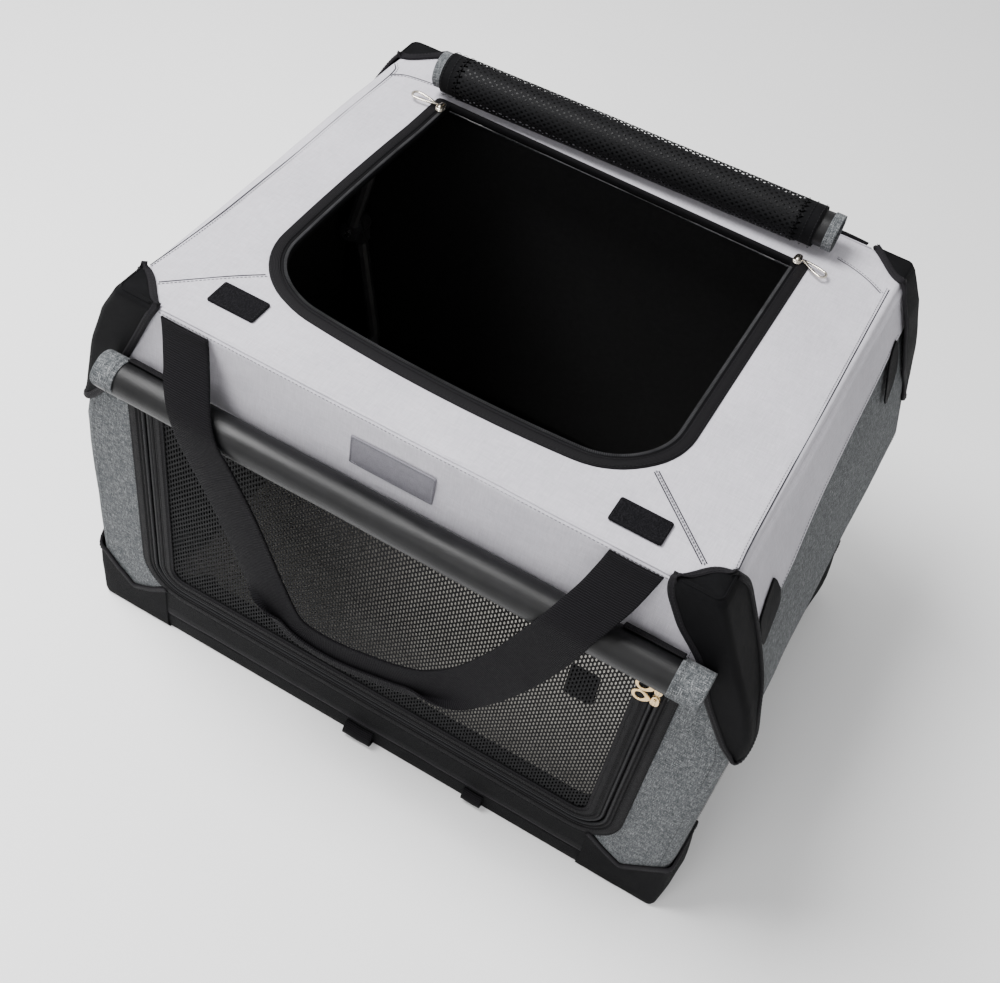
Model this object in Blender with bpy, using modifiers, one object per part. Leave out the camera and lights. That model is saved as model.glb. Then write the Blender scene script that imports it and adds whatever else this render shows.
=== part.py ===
"""Soft-sided folding dog crate: steel tube frames that fold on knee joints,
a fabric shell with a zipped mesh front door, an open zipped roof and two
webbing carrying handles.

Metres, +Z up.  Origin: middle of the footprint, on the floor.
X runs along the front, the front door faces -Y.
"""
import math

import bmesh
import bpy
from mathutils import Matrix, Vector

# ---------------------------------------------------------------- dimensions
HALF_L = 0.305            # half length at the bottom
HALF_W = 0.214            # half width, outer face of the front and back walls
FAB = 0.003               # thickness of a fabric wall
GAP = 0.0003              # clearance between pieces that touch
TOP_Z = 0.435             # top of the roof panel
TOP_HALF_L = 0.2505       # half length of the roof panel
SHOULDER_Z = 0.262        # above this height the ends lean inwards
HEM_H = 0.030             # height of the bottom hem
CORNER_R = 0.004          # upright corners of the hem

LOOP_R = 0.008            # tube radius of the base and top loops
LEG_R = 0.007             # tube radius of the folding legs
LOOP_Y = 0.201            # centre line of both loops
BASE_LOOP_X = 0.292
TOP_LOOP_X = 0.241
BASE_LOOP_Z = 0.0113
TOP_LOOP_Z = 0.4235

PIVOT_X = 0.253           # lower and upper leg pivots stand above each other
PIVOT_LOW_Z = 0.042
PIVOT_TOP_Z = 0.378
KNEE_OUT = 0.0355         # the knee is bowed out past the pivots
KNEE_Z = (PIVOT_LOW_Z + PIVOT_TOP_Z) / 2
KNEE_X = PIVOT_X + KNEE_OUT
LEG_RISE = KNEE_Z - PIVOT_LOW_Z
LEG_LEN = math.hypot(KNEE_OUT, LEG_RISE)
LOW_LEG_Y = 0.1985        # the two legs of a lower frame
TOP_LEG_Y = 0.1825        # the two legs of an upper frame, inside them
BEND_R = 0.030
EYE_R = 0.011
PIN_R = 0.004
RING_R = 0.0115           # outer radius of the pivot clips

DOOR_HALF = 0.2355
DOOR_LOW = 0.0735
DOOR_TOP = 0.3788
DOOR_AXIS_Z = 0.378
BORDER_HALF = 0.2535
BORDER_LOW = 0.056
BAND_LOW = 0.380          # lower edge of the pale front and back bands

ROOF_BORDER_X = (-0.1900, 0.1768)    # roof opening, outside its zip border
ROOF_BORDER_Y = (-0.1600, 0.1532)
ROOF_HOLE_X = (-0.1745, 0.1615)
ROOF_HOLE_Y = (-0.1448, 0.1500)

ROLL_R = 0.0165           # front cover, rolled up
ROLL_Y = 0.2342
ROLL_Z = 0.3625
BACK_ROLL_R = 0.0195      # roof covers, rolled up at a slight slant
BACK_ROLL_ENDS = ((-0.196, 0.1635), (0.186, 0.1800))

HANDLE_AXIS_Y = 0.2190
HANDLE_AXIS_Z = 0.4340
HANDLE_X = 0.188
WEB = 0.042               # webbing width
WEB_T = 0.0025

# ---------------------------------------------------------------- start clean
for ob in list(bpy.data.objects):
    bpy.data.objects.remove(ob, do_unlink=True)

scene = bpy.context.scene
parts = bpy.data.collections.new("folding_dog_crate")
cutters = bpy.data.collections.new("cutters")
scene.collection.children.link(parts)
scene.collection.children.link(cutters)


# ---------------------------------------------------------------- materials
def material(name, colour, rough, metal=0.0):
    m = bpy.data.materials.new(name)
    m.use_nodes = True
    b = m.node_tree.nodes["Principled BSDF"]
    b.inputs["Base Color"].default_value = (*colour, 1.0)
    b.inputs["Roughness"].default_value = rough
    b.inputs["Metallic"].default_value = metal
    m.diffuse_color = (*colour, 1.0)
    return m


PALE = material("pale_grey_oxford", (0.62, 0.61, 0.64), 0.8)
HEATHER = material("heather_grey_fabric", (0.27, 0.28, 0.29), 0.9)
BLACK = material("black_binding", (0.025, 0.025, 0.028), 0.7)
WEBBING = material("black_webbing", (0.022, 0.021, 0.023), 0.75)
GLOSS = material("coated_lining", (0.02, 0.02, 0.02), 0.3)
MESH = material("black_mesh", (0.03, 0.03, 0.03), 0.6)
STEEL = material("frame_steel", (0.35, 0.35, 0.36), 0.35, 1.0)
PLASTIC = material("black_plastic", (0.03, 0.03, 0.03), 0.45)
NICKEL = material("zip_metal", (0.75, 0.66, 0.48), 0.25, 1.0)
BOARD = material("floor_board", (0.05, 0.05, 0.055), 0.8)
PLUSH = material("plush_pad", (0.78, 0.75, 0.68), 0.95)
LABEL = material("woven_label", (0.45, 0.45, 0.5), 0.85)


# ---------------------------------------------------------------- helpers
def finish(ob, name, mat, coll=parts):
    ob.name = name
    ob.data.name = name
    for c in list(ob.users_collection):
        c.objects.unlink(ob)
    coll.objects.link(ob)
    ob.data.materials.clear()
    ob.data.materials.append(mat)
    return ob


def from_bmesh(bm, name, mat, coll=parts, smooth=False):
    me = bpy.data.meshes.new(name)
    bm.normal_update()
    bmesh.ops.recalc_face_normals(bm, faces=bm.faces)
    bm.to_mesh(me)
    bm.free()
    ob = bpy.data.objects.new(name, me)
    coll.objects.link(ob)
    me.materials.append(mat)
    if smooth:
        me.shade_smooth()
        me.set_sharp_from_angle(angle=math.radians(40))
    return ob


def guide(ob):
    ob.hide_render = True
    ob.display_type = "WIRE"
    return ob


def box(name, mat, x0, x1, y0, y1, z0, z1, bevel=0.0, coll=parts):
    bm = bmesh.new()
    bmesh.ops.create_cube(bm, size=1.0)
    for v in bm.verts:
        v.co = Vector((
            x0 + (v.co.x + 0.5) * (x1 - x0),
            y0 + (v.co.y + 0.5) * (y1 - y0),
            z0 + (v.co.z + 0.5) * (z1 - z0),
        ))
    ob = from_bmesh(bm, name, mat, coll)
    if bevel:
        mod = ob.modifiers.new("edge", "BEVEL")
        mod.width = bevel
        mod.segments = 2
        mod.limit_method = "ANGLE"
    return ob


def cylinder(name, mat, radius, p0, p1, sides=20, coll=parts):
    p0, p1 = Vector(p0), Vector(p1)
    bm = bmesh.new()
    bmesh.ops.create_cone(bm, cap_ends=True, segments=sides, radius1=radius,
                          radius2=radius, depth=(p1 - p0).length)
    turn = (p1 - p0).to_track_quat("Z", "Y").to_matrix().to_4x4()
    bm.transform(Matrix.Translation((p0 + p1) / 2) @ turn)
    return from_bmesh(bm, name, mat, coll, smooth=True)


def tube(name, mat, points, radius, cyclic=False, res=3, coll=parts):
    cu = bpy.data.curves.new(name, "CURVE")
    cu.dimensions = "3D"
    cu.bevel_depth = radius
    cu.bevel_resolution = res
    cu.use_fill_caps = not cyclic
    sp = cu.splines.new("POLY")
    sp.points.add(len(points) - 1)
    for p, q in zip(sp.points, points):
        p.co = (*q, 1.0)
        p.radius = 1.0
    sp.use_cyclic_u = cyclic
    sp.use_smooth = True
    ob = bpy.data.objects.new(name, cu)
    coll.objects.link(ob)
    cu.materials.append(mat)
    return ob


def as_mesh(ob):
    """The curve object as a welded mesh object of the same name."""
    name, mat = ob.name, ob.data.materials[0]
    coll = ob.users_collection[0]
    bpy.context.view_layer.update()
    dg = bpy.context.evaluated_depsgraph_get()
    me = bpy.data.meshes.new_from_object(ob.evaluated_get(dg))
    bm = bmesh.new()
    bm.from_mesh(me)
    bmesh.ops.remove_doubles(bm, verts=bm.verts, dist=1e-6)
    bmesh.ops.recalc_face_normals(bm, faces=bm.faces)
    bm.to_mesh(me)
    bm.free()
    world = ob.matrix_world.copy()
    bpy.data.objects.remove(ob, do_unlink=True)
    new = bpy.data.objects.new(name, me)
    new.matrix_world = world
    coll.objects.link(new)
    me.materials.clear()
    me.materials.append(mat)
    me.shade_smooth()
    me.set_sharp_from_angle(angle=math.radians(40))
    return new


def plate(name, mat, outlines, thick, centre, plane="XZ", coll=parts):
    """Flat outline(s) extruded by thick; the first is the rim, others holes.

    plane XZ: outline (x, z) stood up with its middle at y = centre.
    plane XY: outline (x, y) lying with its middle at z = centre.
    """
    cu = bpy.data.curves.new(name, "CURVE")
    cu.dimensions = "2D"
    cu.fill_mode = "BOTH"
    cu.extrude = thick / 2
    for outline in outlines:
        sp = cu.splines.new("POLY")
        sp.points.add(len(outline) - 1)
        for p, q in zip(sp.points, outline):
            p.co = (q[0], q[1], 0.0, 1.0)
        sp.use_cyclic_u = True
    ob = bpy.data.objects.new(name, cu)
    coll.objects.link(ob)
    cu.materials.append(mat)
    if plane == "XZ":
        ob.rotation_euler = (math.radians(90), 0, 0)
        ob.location = (0, centre, 0)
    else:
        ob.location = (0, 0, centre)
    return ob


def boolean(ob, other, operation):
    mod = ob.modifiers.new(operation.lower(), "BOOLEAN")
    mod.operation = operation
    mod.solver = "EXACT"
    mod.object = guide(other)


def arc(cx, cy, r, a0, a1, n):
    """Points on a circle from angle a0 to a1 in degrees."""
    return [(cx + r * math.cos(math.radians(a0 + (a1 - a0) * i / n)),
             cy + r * math.sin(math.radians(a0 + (a1 - a0) * i / n)))
            for i in range(n + 1)]


def round_rect(hx, y0, y1, r_low, r_high, n=5):
    """Rounded rectangle outline, anticlockwise from the lower left corner."""
    pts = arc(-hx + r_low, y0 + r_low, r_low, 180, 270, n)
    pts += arc(hx - r_low, y0 + r_low, r_low, 270, 360, n)
    pts += arc(hx - r_high, y1 - r_high, r_high, 0, 90, n)
    pts += arc(-hx + r_high, y1 - r_high, r_high, 90, 180, n)
    return pts


def roof_outline(xs, ys, r_front, r_back, grow=0.0):
    """Outline on the roof between two x and two y values, wider all round by grow."""
    mid, half = (xs[0] + xs[1]) / 2, (xs[1] - xs[0]) / 2 + grow
    return [(x + mid, y) for x, y in
            round_rect(half, ys[0] - grow, ys[1] + grow, r_front, r_back, 6)]


def end_profile(z):
    """How far the end of the crate stands from the middle at height z."""
    knots = [(0.0, HALF_L), (SHOULDER_Z, HALF_L), (0.372, 0.2785),
             (TOP_Z, TOP_HALF_L)]
    for (z0, x0), (z1, x1) in zip(knots, knots[1:]):
        if z <= z1:
            return x0 + (x1 - x0) * (z - z0) / (z1 - z0)
    return TOP_HALF_L


SIDES = (("left", -1), ("right", 1))
CORNERS = (("fl", -1, -1), ("fr", 1, -1), ("bl", -1, 1), ("br", 1, 1))

# ---------------------------------------------------------------- base
# fabric tray: the bottom cloth with the black hem standing around it
bm = bmesh.new()
rim = round_rect(HALF_L, -HALF_W, HALF_W, CORNER_R, CORNER_R, 3)
low = [bm.verts.new((x, y, 0.0)) for x, y in rim]
top = [bm.verts.new((x, y, HEM_H)) for x, y in rim]
bm.faces.new(low)
for i in range(len(rim)):
    j = (i + 1) % len(rim)
    bm.faces.new((low[i], low[j], top[j], top[i]))
tray = from_bmesh(bm, "base_tray", BLACK)
shell = tray.modifiers.new("cloth", "SOLIDIFY")
shell.thickness = FAB
shell.offset = -1.0

loop = [(x, y, 0.0) for x, y in round_rect(BASE_LOOP_X, -LOOP_Y, LOOP_Y, 0.026, 0.026, 5)]
base_frame = tube("base_frame", STEEL, loop, LOOP_R, cyclic=True)
base_frame.location = (0, 0, BASE_LOOP_Z)

plate("floor_board", BOARD, [round_rect(0.2835, -0.1925, 0.1925, 0.018, 0.018, 3)],
      0.004, FAB + GAP + 0.002, "XY")

pad = plate("floor_pad", PLUSH, [round_rect(0.257, -0.188, 0.188, 0.035, 0.035, 5)],
            0.0204, 0.0178, "XY")
pad = as_mesh(pad)
soft = pad.modifiers.new("soft_edge", "BEVEL")
soft.width = 0.006
soft.segments = 2
soft.limit_method = "ANGLE"
soft.angle_limit = math.radians(60)

# hem caps on the four bottom corners, folded around the hem
for tag, sx, sy in CORNERS:
    bm = bmesh.new()
    along = [(0.247, HALF_W), (0.262, HALF_W), (0.284, HALF_W), (0.296, HALF_W)]
    along += [(HALF_L, HALF_W), (HALF_L, 0.205), (HALF_L, 0.192), (HALF_L, 0.160)]
    heights = [0.046, 0.030, 0.038, 0.056, 0.072, 0.070, 0.056, 0.030]
    off = 0.0006
    ring = []
    for i, (x, y) in enumerate(along):
        a = along[max(i - 1, 0)]
        b = along[min(i + 1, len(along) - 1)]
        t = Vector((b[0] - a[0], b[1] - a[1])).normalized()
        n = Vector((-t.y, t.x))
        if n.dot(Vector((x, y))) < 0:
            n = -n
        ring.append((x + n.x * off, y + n.y * off))
    lo = [bm.verts.new((sx * x, sy * y, 0.0)) for x, y in ring]
    hi = [bm.verts.new((sx * x, sy * y, h)) for (x, y), h in zip(ring, heights)]
    for i in range(len(ring) - 1):
        bm.faces.new((lo[i], lo[i + 1], hi[i + 1], hi[i]))
    bmesh.ops.recalc_face_normals(bm, faces=bm.faces)
    bm.normal_update()
    f = bm.faces[:][0]
    if f.normal.dot(Vector((f.calc_center_median().x, f.calc_center_median().y, 0))) < 0:
        bmesh.ops.reverse_faces(bm, faces=bm.faces)
    me = bpy.data.meshes.new("bottom_guard_" + tag)
    bm.to_mesh(me)
    bm.free()
    cap = bpy.data.objects.new("bottom_guard_" + tag, me)
    parts.objects.link(cap)
    me.materials.append(BLACK)
    mod = cap.modifiers.new("cloth", "SOLIDIFY")
    mod.thickness = 0.0022
    mod.offset = 1.0

# clips that hold the lower leg frames' cross bars on the floor board
for side, s in SIDES:
    cx, cz = PIVOT_X, PIVOT_LOW_Z
    foot = FAB + GAP + 0.004 + GAP
    rim = [(0.2605, foot), (0.281, foot), (0.281, 0.020)]
    rim += arc(cx, cz, RING_R, 0, 310, 20)
    hole = arc(cx, cz, LEG_R + GAP, 0, 345, 23)
    plate("base_clip_" + side, PLASTIC,
          [[(s * x, z) for x, z in rim], [(s * x, z) for x, z in hole]], 0.280, 0.0)

# ---------------------------------------------------------------- walls
inset = 0.0005
wall_out = [(-HALF_L + inset, HEM_H + GAP), (HALF_L - inset, HEM_H + GAP),
            (HALF_L - inset, SHOULDER_Z), (end_profile(BAND_LOW) - inset, BAND_LOW - GAP)]
door_gap = arc(BORDER_HALF + GAP - 0.046, BORDER_LOW - GAP + 0.046, 0.046, 0, -90, 6)
door_gap += [(-x, z) for x, z in reversed(door_gap)]
wall_u = wall_out + [(BORDER_HALF + GAP, BAND_LOW - GAP)] + door_gap
wall_u += [(-BORDER_HALF - GAP, BAND_LOW - GAP), (-end_profile(BAND_LOW) + inset, BAND_LOW - GAP),
           (-HALF_L + inset, SHOULDER_Z)]
plate("front_wall", HEATHER, [wall_u], FAB, -HALF_W + FAB / 2)
back = wall_out + [(-end_profile(BAND_LOW) + inset, BAND_LOW - GAP), (-HALF_L + inset, SHOULDER_Z)]
plate("back_wall", HEATHER, [back], FAB, HALF_W - FAB / 2)

outer = arc(BORDER_HALF - 0.0457, BORDER_LOW + 0.0457, 0.0457, 0, -90, 6)
inner = arc(DOOR_HALF + 0.001 - 0.029, DOOR_LOW - 0.001 + 0.029, 0.029, -90, 0, 6)
border = [(BORDER_HALF, BAND_LOW - GAP)] + outer + [(-x, z) for x, z in reversed(outer)]
border += [(-BORDER_HALF, BAND_LOW - GAP), (-DOOR_HALF - 0.001, BAND_LOW - GAP)]
border += [(-x, z) for x, z in reversed(inner)] + inner + [(DOOR_HALF + 0.001, BAND_LOW - GAP)]
plate("front_zip_border", BLACK, [border], 0.0034, -HALF_W + FAB / 2 - 0.0002)

for side, s in SIDES:
    heights = (HEM_H + GAP, SHOULDER_Z, 0.372, 0.3840)
    outer = [(end_profile(z) - inset, z) for z in heights]
    inner = [(x - 0.0026, z) for x, z in reversed(outer)]
    plate("end_wall_" + side, HEATHER, [[(s * x, z) for x, z in outer + inner]], 0.4210, 0.0)

# ---------------------------------------------------------------- folding legs
def leg_line(s, pivot_z):
    """Unit vector from a leg frame's pivot to the knee, in the XZ plane."""
    return Vector((s * KNEE_OUT, 0.0, KNEE_Z - pivot_z)).normalized()


def u_path(s, pivot_z, leg_y, reach):
    """U-shaped tube: up one leg, round the cross bar on the pivot, back up."""
    u = leg_line(s, pivot_z)
    pivot = Vector((s * PIVOT_X, 0.0, pivot_z))
    pts = []
    for sy in (-1, 1):
        corner = pivot + Vector((0, sy * leg_y, 0))
        inward = Vector((0, -sy, 0))
        run = [corner + u * reach]
        centre = corner + u * BEND_R + inward * BEND_R
        for i in range(6):
            a = math.radians(90 * i / 5)
            run.append(centre - inward * BEND_R * math.cos(a) - u * BEND_R * math.sin(a))
        pts += run if sy < 0 else run[::-1]
    return [tuple(p) for p in pts]


for side, s in SIDES:
    tube("leg_lower_" + side, STEEL,
         u_path(s, PIVOT_LOW_Z, LOW_LEG_Y, LEG_LEN - 0.0235), LEG_R)

    # the upper frame ends in two flattened eyes on the knee pins
    leg = as_mesh(tube("leg_upper_" + side, STEEL,
                       u_path(s, PIVOT_TOP_Z, TOP_LEG_Y, LEG_LEN - 0.0085), LEG_R))
    for sy in (-1, 1):
        eye = cylinder(f"eye_{side}_{sy}", STEEL, EYE_R,
                       (s * KNEE_X, sy * (TOP_LEG_Y - 0.0065), KNEE_Z),
                       (s * KNEE_X, sy * (TOP_LEG_Y + 0.0065), KNEE_Z), 20, cutters)
        boolean(leg, eye, "UNION")
    for sy in (-1, 1):
        bore = cylinder(f"bore_{side}_{sy}", STEEL, PIN_R + GAP,
                        (s * KNEE_X, sy * (TOP_LEG_Y - 0.010), KNEE_Z),
                        (s * KNEE_X, sy * (TOP_LEG_Y + 0.010), KNEE_Z), 16, cutters)
        boolean(leg, bore, "DIFFERENCE")

for tag, sx, sy in CORNERS:
    # knuckle on the end of the lower leg, with the knee pin on it
    u = leg_line(sx, PIVOT_LOW_Z)
    knee = Vector((sx * KNEE_X, 0.0, KNEE_Z))
    side_v = Vector((-u.z, 0.0, u.x))
    start = knee - u * 0.0232
    ang = math.degrees(math.atan2(u.z, u.x))
    disc = arc(knee.x, knee.z, EYE_R, ang - 130, ang + 130, 14)
    stem = [(start.x + side_v.x * 0.0065, start.z + side_v.z * 0.0065),
            (start.x - side_v.x * 0.0065, start.z - side_v.z * 0.0065)]
    knuckle = as_mesh(plate("knuckle_" + tag, PLASTIC, [disc + stem], 0.014, sy * LOW_LEG_Y))
    pin = cylinder("pin_" + tag, PLASTIC, PIN_R,
                   (knee.x, sy * (LOW_LEG_Y - 0.0155), knee.z),
                   (knee.x, sy * LOW_LEG_Y, knee.z), 16, cutters)
    boolean(knuckle, pin, "UNION")
    # spring button in the eye, pressed from the cabin side to free the knee
    button = cylinder("knee_button_" + tag, NICKEL, PIN_R,
                      (0, 0, 0), (0, sy * 0.0075, 0), 16)
    button.location = (knee.x, sy * 0.1735, knee.z)

# ---------------------------------------------------------------- top
loop = [(x, y, 0.0) for x, y in round_rect(TOP_LOOP_X, -LOOP_Y, LOOP_Y, 0.026, 0.026, 5)]
top_frame = tube("top_frame", STEEL, loop, LOOP_R, cyclic=True)
top_frame.location = (0, 0, TOP_LOOP_Z)

plate("top_panel", PALE,
      [round_rect(TOP_HALF_L, -HALF_W, HALF_W, 0.010, 0.010, 3),
       roof_outline(ROOF_BORDER_X, ROOF_BORDER_Y, 0.0680, 0.0040, GAP)],
      FAB, TOP_Z - FAB / 2, "XY")

# raised zip border around the roof opening
plate("top_zip_border", BLACK,
      [roof_outline(ROOF_BORDER_X, ROOF_BORDER_Y, 0.0680, 0.0040),
       roof_outline(ROOF_HOLE_X, ROOF_HOLE_Y, 0.0528, 0.0020)],
      0.0040, TOP_Z - 0.0005, "XY")

# pale bands hanging from the roof's edges
z_hi = TOP_Z - FAB - 0.0005
for name, sy in (("front_band", -1), ("back_band", 1)):
    band = [(-end_profile(BAND_LOW) + inset, BAND_LOW), (end_profile(BAND_LOW) - inset, BAND_LOW),
            (end_profile(z_hi) - inset, z_hi), (-end_profile(z_hi) + inset, z_hi)]
    plate(name, PALE, [band], FAB, sy * (HALF_W - FAB / 2))

for side, s in SIDES:
    z_low = 0.385
    outer = [(end_profile(z_low) - inset, z_low), (end_profile(z_hi) - inset, z_hi)]
    inner = [(x - 0.0026, z) for x, z in reversed(outer)]
    plate("side_band_" + side, PALE, [[(s * x, z) for x, z in outer + inner]], 0.4210, 0.0)

    # clips under the top loop that hold the upper leg frames' cross bars
    cx, cz = PIVOT_X, PIVOT_TOP_Z
    under = TOP_LOOP_Z - LOOP_R - GAP
    rim = arc(cx, cz, RING_R, 150, 380, 16) + [(0.2490, under), (0.2350, under)]
    hole = arc(cx, cz, LEG_R + GAP, 0, 345, 23)
    plate("top_clip_" + side, PLASTIC,
          [[(s * x, z) for x, z in rim], [(s * x, z) for x, z in hole]], 0.280, 0.0)

# bound fabric caps over the top corners: a front (or back) face, a leaning end
# face and a narrow roof flap, as one sheet
for tag, sx, sy in CORNERS:
    off = 0.0010
    crease = [(0.2530, 0.4370), (0.2690, 0.4020), (0.2810, 0.3720), (0.2930, 0.3200), (0.3065, 0.2680)]
    edge = [(0.2140, 0.4370), (0.2250, 0.4020), (0.2360, 0.3720), (0.2660, 0.3200), (0.3010, 0.2720)]
    deep = [0.180, 0.164, 0.152, 0.150, 0.176]
    bm = bmesh.new()
    y = HALF_W + off
    front = [bm.verts.new((sx * x, sy * y, z)) for x, z in edge]
    fold = [bm.verts.new((sx * x, sy * y, z)) for x, z in crease]
    side_v = [bm.verts.new((sx * (x + 0.001), sy * d, z)) for (x, z), d in zip(crease, deep)]
    flap = bm.verts.new((sx * 0.2480, sy * 0.190, 0.4370))
    flap2 = bm.verts.new((sx * 0.2140, sy * (HALF_W - 0.004), 0.4370))
    for i in range(len(crease) - 1):
        bm.faces.new((front[i], front[i + 1], fold[i + 1], fold[i]))
        bm.faces.new((fold[i], fold[i + 1], side_v[i + 1], side_v[i]))
    bm.faces.new((front[0], fold[0], flap, flap2))
    bm.faces.new((fold[0], side_v[0], flap))
    bmesh.ops.recalc_face_normals(bm, faces=bm.faces)
    bm.normal_update()
    f = bm.faces[:][0]
    if f.normal.y * sy < 0:
        bmesh.ops.reverse_faces(bm, faces=bm.faces)
    me = bpy.data.meshes.new("top_guard_" + tag)
    bm.to_mesh(me)
    bm.free()
    cap = bpy.data.objects.new("top_guard_" + tag, me)
    parts.objects.link(cap)
    me.materials.append(BLACK)
    mod = cap.modifiers.new("cloth", "SOLIDIFY")
    mod.thickness = 0.0022
    mod.offset = 1.0

# rolled-up covers
cylinder("front_roll", GLOSS, ROLL_R, (-0.257, -ROLL_Y, ROLL_Z), (0.268, -ROLL_Y, ROLL_Z), 24)
cylinder("back_roll", MESH, BACK_ROLL_R,
         *[(x, y, TOP_Z + 0.0018 + BACK_ROLL_R) for x, y in BACK_ROLL_ENDS], 24)

# hook-and-loop patches at the roof's front corners, and the bare label patch
for side, x0, x1, y0, y1 in (("left", -0.1930, -0.1512, -0.1846, -0.1604),
                             ("right", 0.1540, 0.1960, -0.1945, -0.1712)):
    box("top_patch_" + side, BLACK, x0, x1, y0, y1, TOP_Z + GAP, TOP_Z + GAP + 0.0015)
box("label_patch", LABEL, -0.042, 0.031, -HALF_W - 0.0016, -HALF_W - GAP, 0.3815, 0.411)

# ---------------------------------------------------------------- front door
door = plate("front_door", MESH,
             [round_rect(DOOR_HALF, DOOR_LOW, DOOR_TOP, 0.028, 0.0004, 6)],
             0.002, 0.0)
door.location = (0, -0.2125, DOOR_AXIS_Z)
for sp in door.data.splines:
    for p in sp.points:
        p.co.y -= DOOR_AXIS_Z
patch = box("door_patch", BLACK, 0.166, 0.192, 0.0013, 0.0026, -0.138, -0.098)
patch.location = (0, -0.2125, DOOR_AXIS_Z)

# ---------------------------------------------------------------- handles
def ribbon(name, sy):
    """Webbing strap hanging from the roof edge, over the roll, with its grip."""
    path = [  # x, outward distance y, z of the strap's middle line
        (-HANDLE_X, 0.2190, 0.4340), (-0.1850, 0.2235, 0.4220), (-0.1770, 0.2330, 0.4050),
        (-0.1680, 0.2445, 0.3895), (-0.1590, 0.2527, 0.3750), (-0.1520, 0.2534, 0.3600),
        (-0.1440, 0.2530, 0.3450), (-0.1330, 0.2525, 0.3230), (-0.1210, 0.2520, 0.2980),
        (-0.1090, 0.2518, 0.2700), (-0.0980, 0.2515, 0.2430), (-0.0860, 0.2512, 0.2150),
        (-0.0740, 0.2508, 0.1930), (-0.0600, 0.2505, 0.1790), (-0.0400, 0.2505, 0.1735),
        (-0.0150, 0.2505, 0.1745), (0.0150, 0.2505, 0.1830), (0.0450, 0.2505, 0.1950),
        (0.0700, 0.2505, 0.2080), (0.0900, 0.2508, 0.2250), (0.1070, 0.2512, 0.2480),
        (0.1210, 0.2516, 0.2720), (0.1350, 0.2520, 0.3000), (0.1450, 0.2525, 0.3240),
        (0.1530, 0.2530, 0.3450), (0.1585, 0.2534, 0.3600), (0.1640, 0.2527, 0.3750),
        (0.1710, 0.2445, 0.3895), (0.1790, 0.2330, 0.4050), (0.1850, 0.2235, 0.4220),
        (HANDLE_X, 0.2190, 0.4340),
    ]
    pts = [Vector((x, sy * y, z)) for x, y, z in path]
    bm = bmesh.new()
    rings = []
    for i, p in enumerate(pts):
        t = (pts[min(i + 1, len(pts) - 1)] - pts[max(i - 1, 0)]).normalized()
        if i in (0, len(pts) - 1):
            t = Vector((0, 0, -1 if i == 0 else 1))
        across = Vector((0, sy, 0)).cross(t).normalized()
        if i < 6 or i > len(pts) - 7:
            across = Vector((1, 0, 0)) * (1 if across.x > 0 else -1)
        out = t.cross(across).normalized()
        w, h = across * WEB / 2, out * WEB_T / 2
        rings.append([bm.verts.new(p + a) for a in (-w - h, w - h, w + h, -w + h)])
    for a, b in zip(rings, rings[1:]):
        for k in range(4):
            bm.faces.new((a[k], a[(k + 1) % 4], b[(k + 1) % 4], b[k]))
    bm.faces.new(rings[0])
    bm.faces.new(rings[-1])
    bm.transform(Matrix.Translation((0, -sy * HANDLE_AXIS_Y, -HANDLE_AXIS_Z)))
    bmesh.ops.recalc_face_normals(bm, faces=bm.faces)
    ob = from_bmesh(bm, name, WEBBING)
    ob.location = (0, sy * HANDLE_AXIS_Y, HANDLE_AXIS_Z)
    return ob


ribbon("front_handle", -1)
ribbon("back_handle", 1)

# ---------------------------------------------------------------- zip sliders
def pull_ring(name, width, length, thick, plane="XZ"):
    """Flat ring with its hinge edge at x = 0, reaching to -x."""
    bm_out = [(0.0, -width * 0.32), (0.0, width * 0.32)]
    bm_out += arc(-length + width / 2, 0.0, width / 2, 90, 270, 10)
    hole = arc(-length + width / 2, 0.0, width / 2 - 0.0017, 0, 324, 9)
    return plate(name, NICKEL, [bm_out, hole], thick, 0.0, plane)


for tag, z in (("low", 0.2990), ("high", 0.3130)):
    body = box("door_slider_" + tag, NICKEL, -0.0040, 0.0040, -0.0022, 0.0022, -0.0060, 0.0060, 0.0008)
    body.location = (0.2365, -HALF_W - 0.0008 - 0.0022, z)
    ring = pull_ring("door_pull_" + tag, 0.0105, 0.0210, 0.0012)
    ring.location = (0.2318, -HALF_W - 0.0032, z)

for side, s, x, y in (("left", -1, -0.1785, 0.1380), ("right", 1, 0.1655, 0.1520)):
    body = box("roof_slider_" + side, NICKEL, -0.0040, 0.0040, -0.0060, 0.0060, -0.0020, 0.0020, 0.0008)
    body.location = (x, y, TOP_Z + 0.0015 + GAP + 0.0020)
    ring = pull_ring("roof_pull_" + side, 0.0100, 0.0260, 0.0012, "XY")
    # laid flat on the roof, reaching outwards from the slider
    ring.rotation_euler = (0.0, 0.0, math.pi if s > 0 else 0.0)
    ring.location = (x + s * 0.0048, y, TOP_Z + 0.0015 + 0.0020)
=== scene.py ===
"""Looks of the soft-sided folding dog crate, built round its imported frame.

Metres, +Z up.  X runs along the front, the door faces -Y.
"""
import json
import math

import bmesh
import bpy
import numpy as np
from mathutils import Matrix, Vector, noise


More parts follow.
